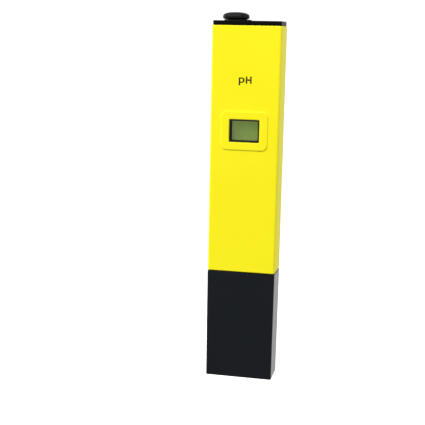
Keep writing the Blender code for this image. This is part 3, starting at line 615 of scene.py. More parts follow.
def makeDisplayFace(tones):
    # reflective liquid crystal: grey-green, with a painted lighter band along its left and bottom edges, and
    # a fine cell texture
    material, tree, shader = newMaterial("displayFace", {"IOR": 1.12, "Emission Strength": tones["paintedGlow"]})
    place = objectPlace(tree)
    parts = addNode(tree, "ShaderNodeSeparateXYZ", {"Vector": place}).outputs
    # painted light: the display's left and bottom edges are made paler
    leftSide = remap(tree, parts["X"], -0.0062, -0.0035, 1.0, 0.0, "SMOOTHSTEP")
    lowEdge = remap(tree, parts["Z"], 0.1022, 0.104, 0.7, 0.0, "SMOOTHSTEP")
    paintedLightBand = compute(tree, "MAXIMUM", leftSide, lowEdge)
    drift = mixColour(tree, noise(tree, place, 300.0, 3.0), tones["face"], tones["cloud"])
    tone = mixColour(tree, paintedLightBand, drift, tones["paintedLightBand"])
    tree.links.new(tone, shader.inputs["Base Color"])
    # painted glow: the reflective display emits its own tone, though it has no lamp
    tree.links.new(tone, shader.inputs["Emission Color"])
    rough = remap(tree, noise(tree, place, 9000.0, 1.0), 0.0, 1.0, 0.3, 0.5)
    tree.links.new(rough, shader.inputs["Roughness"])
    return material


def makeClear(name, colour, ior):
    # clear plastic or glass, with slight unevenness
    fixed = {"Base Color": colour, "IOR": ior, "Transmission Weight": 1.0, "Metallic": 0.0}
    material, tree, shader = newMaterial(name, fixed)
    wave = noise(tree, objectPlace(tree), 250.0, 2.0)
    tree.links.new(remap(tree, wave, 0.0, 1.0, 0.0, 0.05), shader.inputs["Roughness"])
    tree.links.new(addBump(tree, wave, 0.05, 0.00005), shader.inputs["Normal"])
    return material


def makeLayeredRubber():
    # carbon layers between silicone ones, across the strip
    material, tree, shader = newMaterial("layeredRubber", {"Roughness": 0.6, "IOR": 1.4})
    layers = {"Vector": objectPlace(tree), "Scale": 1400.0, "Distortion": 0.6, "Detail": 1.0}
    wave = addNode(tree, "ShaderNodeTexWave", layers, bands_direction="X").outputs["Fac"]
    silicone = remap(tree, wave, 0.35, 0.65)
    tone = mixColour(tree, silicone, rgb(0.02, 0.02, 0.022), rgb(0.3, 0.3, 0.31))
    tree.links.new(tone, shader.inputs["Base Color"])
    tree.links.new(addBump(tree, wave, 0.2, 0.00002), shader.inputs["Normal"])
    return material


materials = {name: makePlastic(name, recipe) for name, recipe in plasticRecipes.items()}
materials.update({name: makeMetal(name, recipe) for name, recipe in metalRecipes.items()})
materials["displayFace"] = makeDisplayFace(displayTones)
materials["layeredRubber"] = makeLayeredRubber()
materials["windowClear"] = makeClear("windowClear", rgb(0.97, 0.98, 0.97), 1.3)
materials["electrodeGlass"] = makeClear("electrodeGlass", rgb(0.95, 0.98, 0.98), 1.47)
print("materials made")


# camera, floor and light

cameraPlan = {
    "place": (0.07349, -0.39823, 0.14418),
    "turn": 12.427,  # degrees to the left of straight ahead
    "tilt": 10.249,  # degrees downwards
    "roll": 1.154,
    "lens": 81.61,
}


def makeCamera(plan):
    deselectAll()
    bpy.ops.object.camera_add(location=plan["place"])
    camera = bpy.context.object
    camera.data.lens = plan["lens"]
    camera.data.sensor_width = 36
    camera.data.clip_start = 0.01
    turn = Matrix.Rotation(math.radians(plan["turn"]), 3, "Z")
    tilt = Matrix.Rotation(math.radians(90 - plan["tilt"]), 3, "X")
    roll = Matrix.Rotation(math.radians(plan["roll"]), 3, "Z")
    camera.rotation_euler = (turn @ tilt @ roll).to_euler()
    bpy.context.scene.camera = camera


makeCamera(cameraPlan)

stagePlan = {
    "floorHalf": 6.0,
    "floorDrop": 44 * mm,  # just under the probe cap when it is drawn off
    "floorColour": rgb(0.88, 0.88, 0.88),
    "floorGlow": 0.55,
    "backLight": 1.0,  # from the white backdrop
    "frontLight": 0.34,  # from the room on the display's side
    "lowShare": 0.6,  # how much of it comes from below the horizon
    "backdrop": 1.05,  # what the camera sees behind the object
}
lightPlan = {
    "key": {"place": (-0.55, -1.0, 1.0), "size": (0.8, 0.8), "power": 21.0},
    "fill": {"place": (0.95, -0.5, 0.35), "size": (0.5, 0.8), "power": 3.0},
    "rim": {"place": (-1.0, 0.15, 0.15), "size": (0.8, 0.8), "power": 5.0},
}


def makeWorld(plan):
    world = bpy.data.worlds.new("studio")
    bpy.context.scene.world = world
    world.use_nodes = True
    tree = world.node_tree
    background = tree.nodes["Background"]
    background.inputs["Color"].default_value = rgb(1.0, 1.0, 1.0)
    way = addNode(tree, "ShaderNodeTexCoord").outputs["Generated"]
    parts = addNode(tree, "ShaderNodeSeparateXYZ", {"Vector": way}).outputs
    depth = remap(tree, parts["Y"], -0.35, 0.5, plan["frontLight"], plan["backLight"], "SMOOTHSTEP")
    height = remap(tree, parts["Z"], -0.6, 0.1, plan["lowShare"], 1.0, "SMOOTHSTEP")
    soft = compute(tree, "MULTIPLY", depth, height)
    seen = addNode(tree, "ShaderNodeLightPath").outputs["Is Camera Ray"]
    strength = addNode(
        tree, "ShaderNodeMix", {0: seen, 2: soft, 3: plan["backdrop"]}, data_type="FLOAT"
    )
    tree.links.new(strength.outputs[0], background.inputs["Strength"])


def makeFloor(plan):
    deselectAll()
    bpy.ops.mesh.primitive_plane_add(size=2 * plan["floorHalf"], location=(0, 0, -plan["floorDrop"]))
    floor = bpy.context.object
    floor.name = "studioFloor"
    material, tree, shader = newMaterial(
        "floorPaper",
        {
            "Roughness": 0.9, "IOR": 1.2, "Emission Color": rgb(1.0, 1.0, 1.0),
            "Emission Strength": plan["floorGlow"],
        },
    )
    fibre = noise(tree, objectPlace(tree), 900.0, 3.0)
    tone = mixColour(tree, fibre, plan["floorColour"], rgb(0.91, 0.91, 0.91))
    tree.links.new(tone, shader.inputs["Base Color"])
    floor.data.materials.append(material)
    floor.visible_diffuse = False
    floor.visible_glossy = False


def makeLights(lights):
    middle = Vector((0, 0, 0.08))
    for name, light in lights.items():
        deselectAll()
        bpy.ops.object.light_add(type="AREA", location=light["place"])
        lamp = bpy.context.object
        lamp.name = name
        lamp.data.shape = "RECTANGLE"
        lamp.data.size, lamp.data.size_y = light["size"]
        lamp.data.energy = light["power"]
        lamp.rotation_euler = (middle - lamp.location).to_track_quat("-Z", "Y").to_euler()


bpy.context.scene.view_settings.view_transform = "Standard"
makeWorld(stagePlan)
makeFloor(stagePlan)
makeLights(lightPlan)
print("camera, floor and lights made")


# case sleeve

caseLow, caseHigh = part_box("case_sleeve")
casePlan = {
    "wall": 1.2 * mm,
    "corner": 1.0 * mm,
    "boreCorner": 0.7 * mm,
    "rim": 0.45 * mm,
    "padWidth": 19.8 * mm,
    "padHeight": 16.2 * mm,
    "padCorner": 2.5 * mm,
    "padRise": 0.5 * mm,
    "padShoulder": 0.48 * mm,
    "windowWidth": 12.6 * mm,
    "windowHeight": 9.4 * mm,
    "windowZ": 106.7 * mm,
    "windowCorner": 0.35 * mm,
    "windowLip": 0.38 * mm,
    "trimmerX": 4.5 * mm,
    "trimmerZ": 88.0 * mm,
    "trimmerHole": 1.5 * mm,
    "trimmerFlare": 0.35 * mm,
    "railReach": 1.1 * mm,
    "railWidth": 1.0 * mm,
    "railEdge": 0.15 * mm,
    "railRoot": 0.1 * mm,  # how far it is sunk into the wall
    "railYs": (-0.3 * mm, 2.5 * mm),
    "railZs": (62.0 * mm, 116.0 * mm),
}


def makeSleeve(plan):
    half = caseHigh.x
    back = caseHigh.y
    front = caseLow.y + plan["padRise"]
    low, high = caseLow.z, caseHigh.z
    sleeve = addRoundedBlock("caseSleeve", (-half, front, low), (half, back, high), plan["corner"], "Z", 10)
    for end in (low, high):
        bevelEdges(sleeve, atHeight("Z", end), plan["rim"], 3)

    z = plan["windowZ"]
    padHalf, padTall = plan["padWidth"] / 2, plan["padHeight"] / 2
    root = front + plan["wall"] / 2
    face = caseLow.y
    pad = addRoundedBlock(
        "pad", (-padHalf, face, z - padTall), (padHalf, root, z + padTall), plan["padCorner"], "Y", 12
    )
    bevelEdges(pad, atHeight("Y", face), plan["padShoulder"], 5)
    join(sleeve, pad)

    wall = plan["wall"]
    past = 1.0 * mm
    bore = addRoundedBlock(
        "bore", (-half + wall, front + wall, low - past), (half - wall, back - wall, high + past),
        plan["boreCorner"], "Z", 6,
    )
    carve(sleeve, bore)
    windowHalf, windowTall = plan["windowWidth"] / 2, plan["windowHeight"] / 2
    window = addRoundedBlock(
        "window", (-windowHalf, face - past, z - windowTall),
        (windowHalf, front + wall + past, z + windowTall), plan["windowCorner"], "Y", 4,
    )
    carve(sleeve, window)
    room = 0.02 * mm

    def onWindow(point):
        inside = abs(point.x) < windowHalf + room and abs(point.z - z) < windowTall + room
        return near(point.y, face, 1e-5) and inside

    bevelEdges(sleeve, lambda a, b: onWindow(a) and onWindow(b), plan["windowLip"], 5)

    radius, flare = plan["trimmerHole"], plan["trimmerFlare"]
    deep = -2 * wall
    cutter = [(0, deep), (radius, deep), (radius, -flare), (radius + 2 * flare, flare), (0, flare)]
    railLow, railHigh = plan["railZs"]
    inner = half - wall - plan["railReach"]
    outer = half - wall + plan["railRoot"]
    for side in (-1, 1):
        carve(sleeve, addTurned("hole", cutter, (side * plan["trimmerX"], back, plan["trimmerZ"]), "Y", 40))
        left, right = sorted((side * inner, side * outer))
        for y in plan["railYs"]:
            rail = addBlock("rail", (left, y, railLow), (right, y + plan["railWidth"], railHigh))
            bevelEdges(rail, alongAxis("Z"), plan["railEdge"], 2)
            join(sleeve, rail)
    shade(sleeve)
    finishPiece(sleeve, "yellowCase", "case", "case", "case_sleeve")


makeSleeve(casePlan)
print("case sleeve made")


# the printed quantity sign

signPlan = {
    "letters": {
        "p": {"x": (-2.8 * mm, -0.35 * mm), "z": (125.4 * mm, 128.65 * mm), "bold": 0.05 * mm},
        "H": {"x": (0.15 * mm, 2.55 * mm), "z": (126.15 * mm, 129.1 * mm), "bold": 0.13 * mm},
    },
    "size": 4 * mm,  # before it is drawn out to its place
    "ink": 0.03 * mm,
    "sunk": 0.004 * mm,  # so that the ink meets the case
}


def makeLetter(letter, spot, plan):
    deselectAll()
    bpy.ops.object.text_add(location=(0, 0, 0))
    sign = bpy.context.object
    sign.data.body = letter
    sign.data.size = plan["size"]
    sign.data.offset = spot["bold"]
    sign.data.resolution_u = 6
    useOnly(sign)
    bpy.ops.object.convert(target="MESH")
    sign = bpy.context.object
    sign.name = "sign_" + letter
    xs = [vertex.co.x for vertex in sign.data.vertices]
    ys = [vertex.co.y for vertex in sign.data.vertices]
    left, right = spot["x"]
    low, high = spot["z"]
    wide = (right - left) / (max(xs) - min(xs))
    tall = (high - low) / (max(ys) - min(ys))
    sign.scale = (wide, tall, 1)
    sign.rotation_euler = (math.pi / 2, 0, 0)
    front = caseLow.y + casePlan["padRise"]
    sign.location = (left - min(xs) * wide, front - plan["sunk"], low - min(ys) * tall)
    settle(sign)
    applyModifier(sign, "SOLIDIFY", thickness=plan["ink"], offset=-1.0)
    applyModifier(sign, "TRIANGULATE")
    finishPiece(sign, "printInk", "case", "case")


for letter, spot in signPlan["letters"].items():
    makeLetter(letter, spot, signPlan)
print("sign made")


# probe cap

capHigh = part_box("probe_cap")[1]
capPlan = {
    "corner": 0.6 * mm,
    "draft": 0.2 * mm,
    "base": 0.25 * mm,
    "lip": 0.1 * mm,
    "wall": 1.2 * mm,
    "floor": 1.6 * mm,
    "hollowCorner": 0.7 * mm,
    "hollowFillet": 0.5 * mm,
    "gateRadius": 1.6 * mm,
    "gateDepth": 0.25 * mm,
}


def narrowEnd(piece, place, inset, half, deep):
    # draws in one end of a tapered piece
    pick(piece, "FACE", lambda centre, normal: near(centre.z, place) and normal.z < -0.9)
    bpy.ops.transform.resize(value=((half - inset) / half, (deep - inset) / deep, 1))
    leaveEdit()


def makeCap(plan):
    half, deep = capHigh.x, capHigh.y
    cap = addRoundedBlock("capShell", (-half, -deep, 0), (half, deep, capHigh.z), plan["corner"], "Z", 10)
    narrowEnd(cap, 0, plan["draft"], half, deep)
    bevelEdges(cap, atHeight("Z", 0), plan["base"], 4)
    bevelEdges(cap, atHeight("Z", capHigh.z), plan["lip"], 2)
    past = 1.0 * mm
    innerHalf, innerDeep = half - plan["wall"], deep - plan["wall"]
    hollow = addRoundedBlock(
        "hollow", (-innerHalf, -innerDeep, plan["floor"]), (innerHalf, innerDeep, capHigh.z + past),
        plan["hollowCorner"], "Z", 6,
    )
    narrowEnd(hollow, plan["floor"], plan["draft"], innerHalf, innerDeep)
    bevelEdges(hollow, atHeight("Z", plan["floor"]), plan["hollowFillet"], 3)
    carve(cap, hollow)
    carve(cap, addRod("gate", (0, 0, 0), plan["gateRadius"], 2 * plan["gateDepth"], "Z", 40))
    carve(cap, addRod("gateRing", (0, 0, 0), plan["gateRadius"] / 3, 4 * plan["gateDepth"], "Z", 24))
    shade(cap)
    finishPiece(cap, "capBlack", "cap", "black_gloss", "probe_cap")


makeCap(capPlan)
print("probe cap made")


# battery tray

trayLow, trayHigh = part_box("battery_tray")
trayPlan = {
    "plateLow": 149.66 * mm,
    "plateTop": 151.5 * mm,
    "plateCorner": 0.6 * mm,
    "rim": 0.25 * mm,
    "lowRim": 0.08 * mm,
    "coreHalf": 13.0 * mm,
    "coreDeep": 5.6 * mm,
    "coreCorner": 0.7 * mm,
    "coreEdge": 0.25 * mm,
    "wall": 1.2 * mm,
    "collarLength": 11.4 * mm,
    "collarWidth": 6.6 * mm,
    "collarX": -5.1 * mm,
    "collarEdge": 0.18 * mm,
    "cellZ": 138.1 * mm,
    "bayRadius": 6.05 * mm,
    "chamberZ": 145.3 * mm,
    "slotLength": 6.6 * mm,
    "slotWidth": 3.3 * mm,
    "slotCorner": 0.4 * mm,
    "bladeSlot": (0.8 * mm, 6.5 * mm),  # thickness and length of the slots for the wide contacts
    "bladeInset": 0.45 * mm,
    "dividerZ": 144.725 * mm,
    "grooveLow": 129.5 * mm,  # the groove down the left side for the switched contact
    "grooveHalf": 1.75 * mm,
    "grooveX": -12.4 * mm,
    "portX": -10.8 * mm,  # where that contact goes through the wall to the switch
    "portZs": (147.05 * mm, 148.15 * mm),
    "mark": (0.12 * mm, 0.45 * mm, 1.1 * mm),  # rise, stroke and half length of the polarity marks
    "markInset": 2.4 * mm,
}


def makeTray(plan):
    half, deep = trayHigh.x, trayHigh.y
    low, top = plan["plateLow"], plan["plateTop"]
    past = 1.0 * mm
    tray = addRoundedBlock("trayBody", (-half, -deep, low), (half, deep, top), plan["plateCorner"], "Z", 10)
    bevelEdges(tray, atHeight("Z", top), plan["rim"], 4)
    bevelEdges(tray, atHeight("Z", low), plan["lowRim"], 2)
    coreHalf, coreDeep = plan["coreHalf"], plan["coreDeep"]
    core = addRoundedBlock(
        "core", (-coreHalf, -coreDeep, trayLow.z), (coreHalf, coreDeep, low + past / 2),
        plan["coreCorner"], "Z", 6,
    )
    bevelEdges(core, atHeight("Z", trayLow.z), plan["coreEdge"], 3)
    join(tray, core)
    x = plan["collarX"]
    collarHalf, collarDeep = plan["collarLength"] / 2, plan["collarWidth"] / 2
    collar = addRoundedBlock(
        "collar", (x - collarHalf, -collarDeep, top - past / 2), (x + collarHalf, collarDeep, trayHigh.z),
        collarDeep - 0.1 * mm, "Z", 14,
    )
    bevelEdges(collar, atHeight("Z", trayHigh.z), plan["collarEdge"], 3)
    join(tray, collar)

    inner = coreHalf - plan["wall"]
    radius, z = plan["bayRadius"], plan["cellZ"]
    carve(tray, addRod("cradle", (0, 0, z), radius, 2 * inner, "X", 96))
    carve(tray, addBlock("bay", (-inner, -2 * deep, z - radius), (inner, 0, z + radius)))
    front = plan["wall"] - coreDeep
    carve(tray, addBlock("chamber", (-inner, front, plan["chamberZ"]), (inner, 2 * deep, low)))
    slotHalf, slotDeep = plan["slotLength"] / 2, plan["slotWidth"] / 2
    slot = addRoundedBlock(
        "slot", (x - slotHalf, -slotDeep, low - past), (x + slotHalf, slotDeep, trayHigh.z + past),
        plan["slotCorner"], "Z", 4,
    )
    carve(tray, slot)

    plateX = inner - plan["bladeInset"]
    thick, long = plan["bladeSlot"]
    carve(tray, addCentredBlock("floorSlot", (plateX, 0, trayLow.z), (thick, long, 6 * mm)))
    carve(tray, addCentredBlock("dividerSlot", (-plateX, 0, plan["dividerZ"]), (thick, long, 4 * mm)))
    reach = plan["grooveHalf"]
    portLow, portHigh = plan["portZs"]
    for bottom, right in ((plan["grooveLow"], plan["grooveX"]), (portLow, plan["portX"])):
        carve(tray, addBlock("groove", (-half - past, -reach, bottom), (right, reach, portHigh)))
    addPolarityMarks(tray, plan, inner)
    shade(tray)
    finishPiece(tray, "trayBlack", "tray", "black_housing", "battery_tray")


def addPolarityMarks(tray, plan, inner):
    # raised plus and minus on the tray's front, above the ends of the cell stack
    z = (plan["cellZ"] + plan["bayRadius"] + plan["plateLow"]) / 2
    face = -plan["coreDeep"]
    rise, stroke, arm = plan["mark"]
    for side in (-1, 1):
        x = side * (inner - plan["markInset"])
        bars = [(arm, stroke / 2)]
        if side > 0:
            bars.append((stroke / 2, arm))
        for halfX, halfZ in bars:
            bar = addBlock("mark", (x - halfX, face - rise, z - halfZ), (x + halfX, face + rise, z + halfZ))
            join(tray, bar)


makeTray(trayPlan)
print("battery tray made")


# switch knob

knobLow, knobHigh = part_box("switch_knob")
knobPlan = {
    "skirt": 0.4 * mm,  # below the widest line
    "skirtInset": 0.45 * mm,
    "skid": (4.7 * mm, 2.5 * mm, 0.2 * mm),  # the step under it that slides on the collar
    "dome": 2.35 * mm,  # above the widest line
    "domeSteps": 16,
    "domePower": (3.6, 0.44),
    "forkLength": 4.4 * mm,
    "forkWidth": 2.6 * mm,
    "forkCorner": 0.3 * mm,
    "pocketHalf": 1.2 * mm,
    "pocketDepth": 1.5 * mm,
}


def makeKnob(plan):
    x = (knobLow.x + knobHigh.x) / 2
    halfLong, halfWide = (knobHigh.x - knobLow.x) / 2, knobHigh.y
    wideZ = knobHigh.z - plan["dome"]
    lowZ = wideZ - plan["skirt"]
    knob = addRoundedBlock(
        "switchKnob", (x - halfLong, -halfWide, lowZ), (x + halfLong, halfWide, wideZ),
        halfWide - 0.05 * mm, "Z", 18,
    )
    inset = plan["skirtInset"]
    pick(knob, "FACE", lambda centre, normal: normal.z < -0.9)
    bpy.ops.transform.resize(value=((halfLong - inset) / halfLong, (halfWide - inset) / halfWide, 1))
    leaveEdit()
    pick(knob, "FACE", lambda centre, normal: normal.z > 0.9)
    steps = plan["domeSteps"]
    rise, fall = plan["domePower"]
    height, share = 0.0, 1.0
    for step in range(1, steps + 1):
        nextHeight = math.sin(step / steps * math.pi / 2)
        nextShare = max((1 - nextHeight ** rise) ** fall, 0.12)
        scale = nextShare / share
        bpy.ops.mesh.extrude_region_move(
            TRANSFORM_OT_translate={"value": (0, 0, (nextHeight - height) * plan["dome"])}
        )
        bpy.ops.transform.resize(value=(scale, scale, 1))
        height, share = nextHeight, nextShare
    leaveEdit()
    skidLong, skidWide, skidDeep = plan["skid"]
    skid = addRoundedBlock(
        "skid", (x - skidLong, -skidWide, lowZ - skidDeep), (x + skidLong, skidWide, wideZ),
        skidWide - 0.1 * mm,
    )
    join(knob, skid)
    forkLong, forkWide = plan["forkLength"] / 2, plan["forkWidth"] / 2
    fork = addRoundedBlock(
        "fork", (x - forkLong, -forkWide, knobLow.z), (x + forkLong, forkWide, wideZ),
        plan["forkCorner"], "Z", 4,
    )
    pocketTop = knobLow.z + plan["pocketDepth"]
    pocket = addBlock(
        "pocket", (x - plan["pocketHalf"], -2 * forkWide, knobLow.z - mm),
        (x + plan["pocketHalf"], 2 * forkWide, pocketTop),
    )
    carve(fork, pocket)
    join(knob, fork)
    shade(knob, 40)
    finishPiece(knob, "knobGrey", "switch", "knob", "switch_knob")


makeKnob(knobPlan)
print("switch knob made")


# display

holderLow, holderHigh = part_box("lcd_holder")
displayPlan = {
    "collarHalf": (6.2 * mm, 4.6 * mm),
    "collarCorner": 0.3 * mm,
    "collarEdge": 0.1 * mm,
    "sightHalf": (5.7 * mm, 4.1 * mm),
    "sightCorner": 0.15 * mm,
    "flangeFront": -5.6 * mm,
    "flangeBack": -3.9 * mm,
    "legInner": 10.8 * mm,
    "corner": 0.5 * mm,
    "z": 106.7 * mm,
}


def makeHolder(plan):
    z = plan["z"]
    half, tall = holderHigh.x, (holderHigh.z - holderLow.z) / 2
    front, back = plan["flangeFront"], plan["flangeBack"]
    middle = (front + back) / 2
    inset = plan["corner"]
    holder = addRoundedBlock("displayHolder", (-half, front, z - tall), (half, back, z + tall), inset, "Y", 4)
    for side in (-1, 1):
        left, right = sorted((side * plan["legInner"], side * half))
        leg = ((left, middle, z - tall + inset), (right, holderHigh.y, z + tall - inset))
        join(holder, addBlock("leg", *leg))
    collarX, collarZ = plan["collarHalf"]
    collar = addRoundedBlock(
        "collar", (-collarX, holderLow.y, z - collarZ), (collarX, middle, z + collarZ),
        plan["collarCorner"], "Y", 4,
    )
    bevelEdges(collar, atHeight("Y", holderLow.y), plan["collarEdge"], 2)
    join(holder, collar)
    sightX, sightZ = plan["sightHalf"]
    sight = addRoundedBlock(
        "sight", (-sightX, holderLow.y - mm, z - sightZ), (sightX, back + mm, z + sightZ),
        plan["sightCorner"], "Y", 3,
    )
    carve(holder, sight)
    shade(holder)
    finishPiece(holder, "holderBlack", "case", "black_housing", "lcd_holder")


def makeDisplay(plan):
    makeHolder(plan)
    layers = (
        ("windowPane", "lcd_window_pane", "windowClear", "clear_pane", 0.08 * mm),
        ("displayPanel", "lcd_panel", "displayFace", "display", 0.12 * mm),
        ("displayReflector", "lcd_reflector", "reflectorFoil", "foil", 0.03 * mm),
    )
    for name, node, material, slotName, edge in layers:
        low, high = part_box(node)
        layer = addBlock(name, low, high)
        bevelEdges(layer, lambda a, b: True, edge, 2)
        shade(layer)
        layer.visible_shadow = material != "windowClear"  # light reaches the display through the pane
        finishPiece(layer, material, "case", slotName, node)


makeDisplay(displayPlan)
print("display made")


# probe block

blockPlan = {
    "half": (13.0 * mm, 5.6 * mm),
    "zs": (38.5 * mm, 58.0 * mm),
    "corner": 0.7 * mm,
    "edge": 0.3 * mm,
    "ribXs": (-8.5 * mm, 0.0, 8.5 * mm),  # friction ribs that hold the cap
    "ribRise": 0.18 * mm,
    "ribWidth": 0.9 * mm,
    "ribZs": (39.6 * mm, 46.0 * mm),
    "channel": (4.85 * mm, 50.3 * mm),  # radius and top
    "mouth": (0.5 * mm, -0.2 * mm, 0.5 * mm),  # how far it flares, and from and to where above the low end
    "wireWay": 3.5 * mm,
    "tongueHalf": 11.0 * mm,
    "tongueYs": (2.5 * mm, 5.3 * mm),
    "tongueTop": 71.0 * mm,
    "tongueCorner": 0.6 * mm,
    "pilot": (8.0 * mm, 67.0 * mm, 1.1 * mm),  # x, z and radius
}


def makeProbeBlock(plan):
    halfX, halfY = plan["half"]
    low, high = plan["zs"]
    corner = plan["corner"]
    block = addRoundedBlock("probeBlock", (-halfX, -halfY, low), (halfX, halfY, high), corner, "Z", 6)
    bevelEdges(block, atHeight("Z", low), plan["edge"], 3)
    bevelEdges(block, atHeight("Z", high), plan["edge"] / 2, 2)
    ribLow, ribHigh = plan["ribZs"]
    rise = plan["ribRise"]
    ribSize = (plan["ribWidth"], 2 * rise, ribHigh - ribLow)
    for x in plan["ribXs"]:
        for side in (-1, 1):
            rib = addCentredBlock("rib", (x, side * halfY, (ribLow + ribHigh) / 2), ribSize)
            bevelEdges(rib, lambda a, b: min(abs(a.y), abs(b.y)) > halfY, 0.8 * rise, 2)
            join(block, rib)
    frontY, backY = plan["tongueYs"]
    across = plan["tongueHalf"]
    tongue = addRoundedBlock(
        "tongue", (-across, frontY, high - mm), (across, backY, plan["tongueTop"]),
        plan["tongueCorner"], "Y", 4,
    )
    join(block, tongue)
    radius, top = plan["channel"]
    deep = top - low + mm
    carve(block, addRod("channel", (0, 0, top - deep / 2), radius, deep, "Z", 64))
    carve(block, addRod("wireWay", (0, 0, (top + high) / 2), plan["wireWay"], high - top + 2 * mm))
    flare, flareLow, flareHigh = plan["mouth"]
    mouth = [(0, flareLow), (radius + flare, flareLow), (radius, flareHigh), (0, flareHigh)]
    carve(block, addTurned("mouth", mouth, (0, 0, low), "Z", 64))
    x, z, pilotRadius = plan["pilot"]
    for side in (-1, 1):
        carve(block, addRod("pilot", (side * x, (frontY + backY) / 2, z), pilotRadius, 4 * mm, "Y", 24))
    shade(block)
    finishPiece(block, "probeBlack", "case", "black_housing", "probe_block")


makeProbeBlock(blockPlan)
print("probe block made")


# electrode

electrodePlan = {
    "tube": (
        (4.2, 8.8), (4.35, 8.55), (4.6, 8.5), (4.9, 8.5), (5.15, 8.6), (5.3, 8.9), (5.3, 20.5), (5.2, 20.6),
        (5.2, 20.9), (5.3, 21.0), (5.3, 37.8), (5.2, 38.1), (5.0, 38.2), (4.6, 38.2), (4.6, 49.7),
        (4.4, 50.0), (3.8, 50.0), (3.6, 49.8), (3.6, 37.2), (4.2, 36.9), (4.2, 8.8),
    ),
    "slotWidth": 3.2 * mm,
    "slotReach": 7 * mm,
    "slotLow": 7 * mm,
    "slotTop": 16.0 * mm,
    "slotCorner": 1.1 * mm,
    "plug": (
        (2.05, 17.15), (2.2, 17.0), (3.8, 17.0), (4.0, 17.2), (4.0, 19.85), (3.85, 20.0), (2.2, 20.0),
        (2.05, 19.85), (2.05, 17.15),
    ),
    "junction": ((0, 16.8), (0.4, 16.8), (0.5, 16.9), (0.5, 19.9), (0.42, 20.0), (0, 20.0)),
    "junctionX": 3.0 * mm,
    "junctionHole": (18.5 * mm, 0.6 * mm),  # z and radius
    "seal": (
        (1.95, 47.3), (2.15, 47.0), (3.2, 47.0), (3.45, 47.3), (3.3, 48.0), (3.3, 48.7), (3.45, 49.4),
        (3.2, 49.7), (2.15, 49.7), (1.95, 49.4), (1.95, 47.3),
    ),
    "wireHole": (2.75 * mm, 48.3 * mm, 0.45 * mm),  # x, z and radius
    "bulbRadius": 2.7,
    "bulbZ": 12.9,
    "stemRadius": 1.8,
    "glassWall": 0.4,
    "stemTop": 51.0,
    "wires": {
        "silverWire": {"node": "silver_wire", "x": 0.0, "radius": 0.3, "zs": (12.95, 52.5)},
        "referenceWire": {"node": "reference_wire", "x": 2.75, "radius": 0.25, "zs": (24.0, 52.5)},
    },
}


def inMm(points):
    return [(a * mm, b * mm) for a, b in points]


def bulbArc(radius, stem, z, steps=22):
    # from the lowest point round to where the stem starts
    last = math.pi - math.asin(stem / radius)
    arc = [last * i / steps for i in range(steps + 1)]
    return [(radius * math.sin(turn), z - radius * math.cos(turn)) for turn in arc]


def makeElectrode(plan):
    tube = addTurned("electrodeBody", inMm(plan["tube"]), steps=64)
    half, reach, top = plan["slotWidth"] / 2, plan["slotReach"], plan["slotTop"]
    for reachX, reachY, axis in ((reach, half, "X"), (half, reach, "Y")):
        slot = addBlock("slot", (-reachX, -reachY, plan["slotLow"]), (reachX, reachY, top))
        along = alongAxis(axis)
        bevelEdges(slot, lambda a, b: along(a, b) and near(a.z, top), plan["slotCorner"], 6)
        carve(tube, slot)
    shade(tube)
    finishPiece(tube, "probeBlack", "case", "black_housing", "electrode_body")

    x = plan["junctionX"]
    plug = addTurned("tipPlug", inMm(plan["plug"]), steps=64)
    z, radius = plan["junctionHole"]
    carve(plug, addRod("hole", (x, 0, z), radius, 6 * mm, "Z", 24))
    shade(plug)
    finishPiece(plug, "probeBlack", "case", "black_housing", "electrode_tip_plug")
    junction = addTurned("referenceJunction", inMm(plan["junction"]), (x, 0, 0), "Z", 24)
    shade(junction)
    finishPiece(junction, "junctionCeramic", "case", "ceramic", "reference_junction")

    seal = addTurned("electrodeSeal", inMm(plan["seal"]), steps=48)
    x, z, radius = plan["wireHole"]
    carve(seal, addRod("wireHole", (x, 0, z), radius, 6 * mm, "Z", 20))
    shade(seal)
    finishPiece(seal, "sealRubber", "case", "rubber", "electrode_seal")

    wall, stem, stemTop = plan["glassWall"], plan["stemRadius"], plan["stemTop"]
    outer = bulbArc(plan["bulbRadius"], stem, plan["bulbZ"])
    inner = bulbArc(plan["bulbRadius"] - wall, stem - wall, plan["bulbZ"])
    bore = stem - wall
    lip = [(stem, stemTop - 0.15), (stem - 0.1, stemTop), (bore + 0.1, stemTop), (bore, stemTop - 0.15)]
    glass = addTurned("glassElectrode", inMm(outer + lip + inner[::-1]), steps=48)
    shade(glass, 50)
    glass.visible_shadow = False
    finishPiece(glass, "electrodeGlass", "case", "glass", "glass_electrode")

    for name, wire in plan["wires"].items():
        radius = wire["radius"]
        low, high = wire["zs"]
        profile = [
            (0, low), (0.6 * radius, low + 0.02), (radius, low + 0.15), (radius, high - 0.1),
            (0.8 * radius, high), (0, high),
        ]
        rod = addTurned(name, inMm(profile), (wire["x"] * mm, 0, 0), "Z", 20)
        shade(rod, 40)
        finishPiece(rod, "silverWire", "case", "silver", wire["node"])


makeElectrode(electrodePlan)
print("electrode made")


# button cells, spring and contact strips

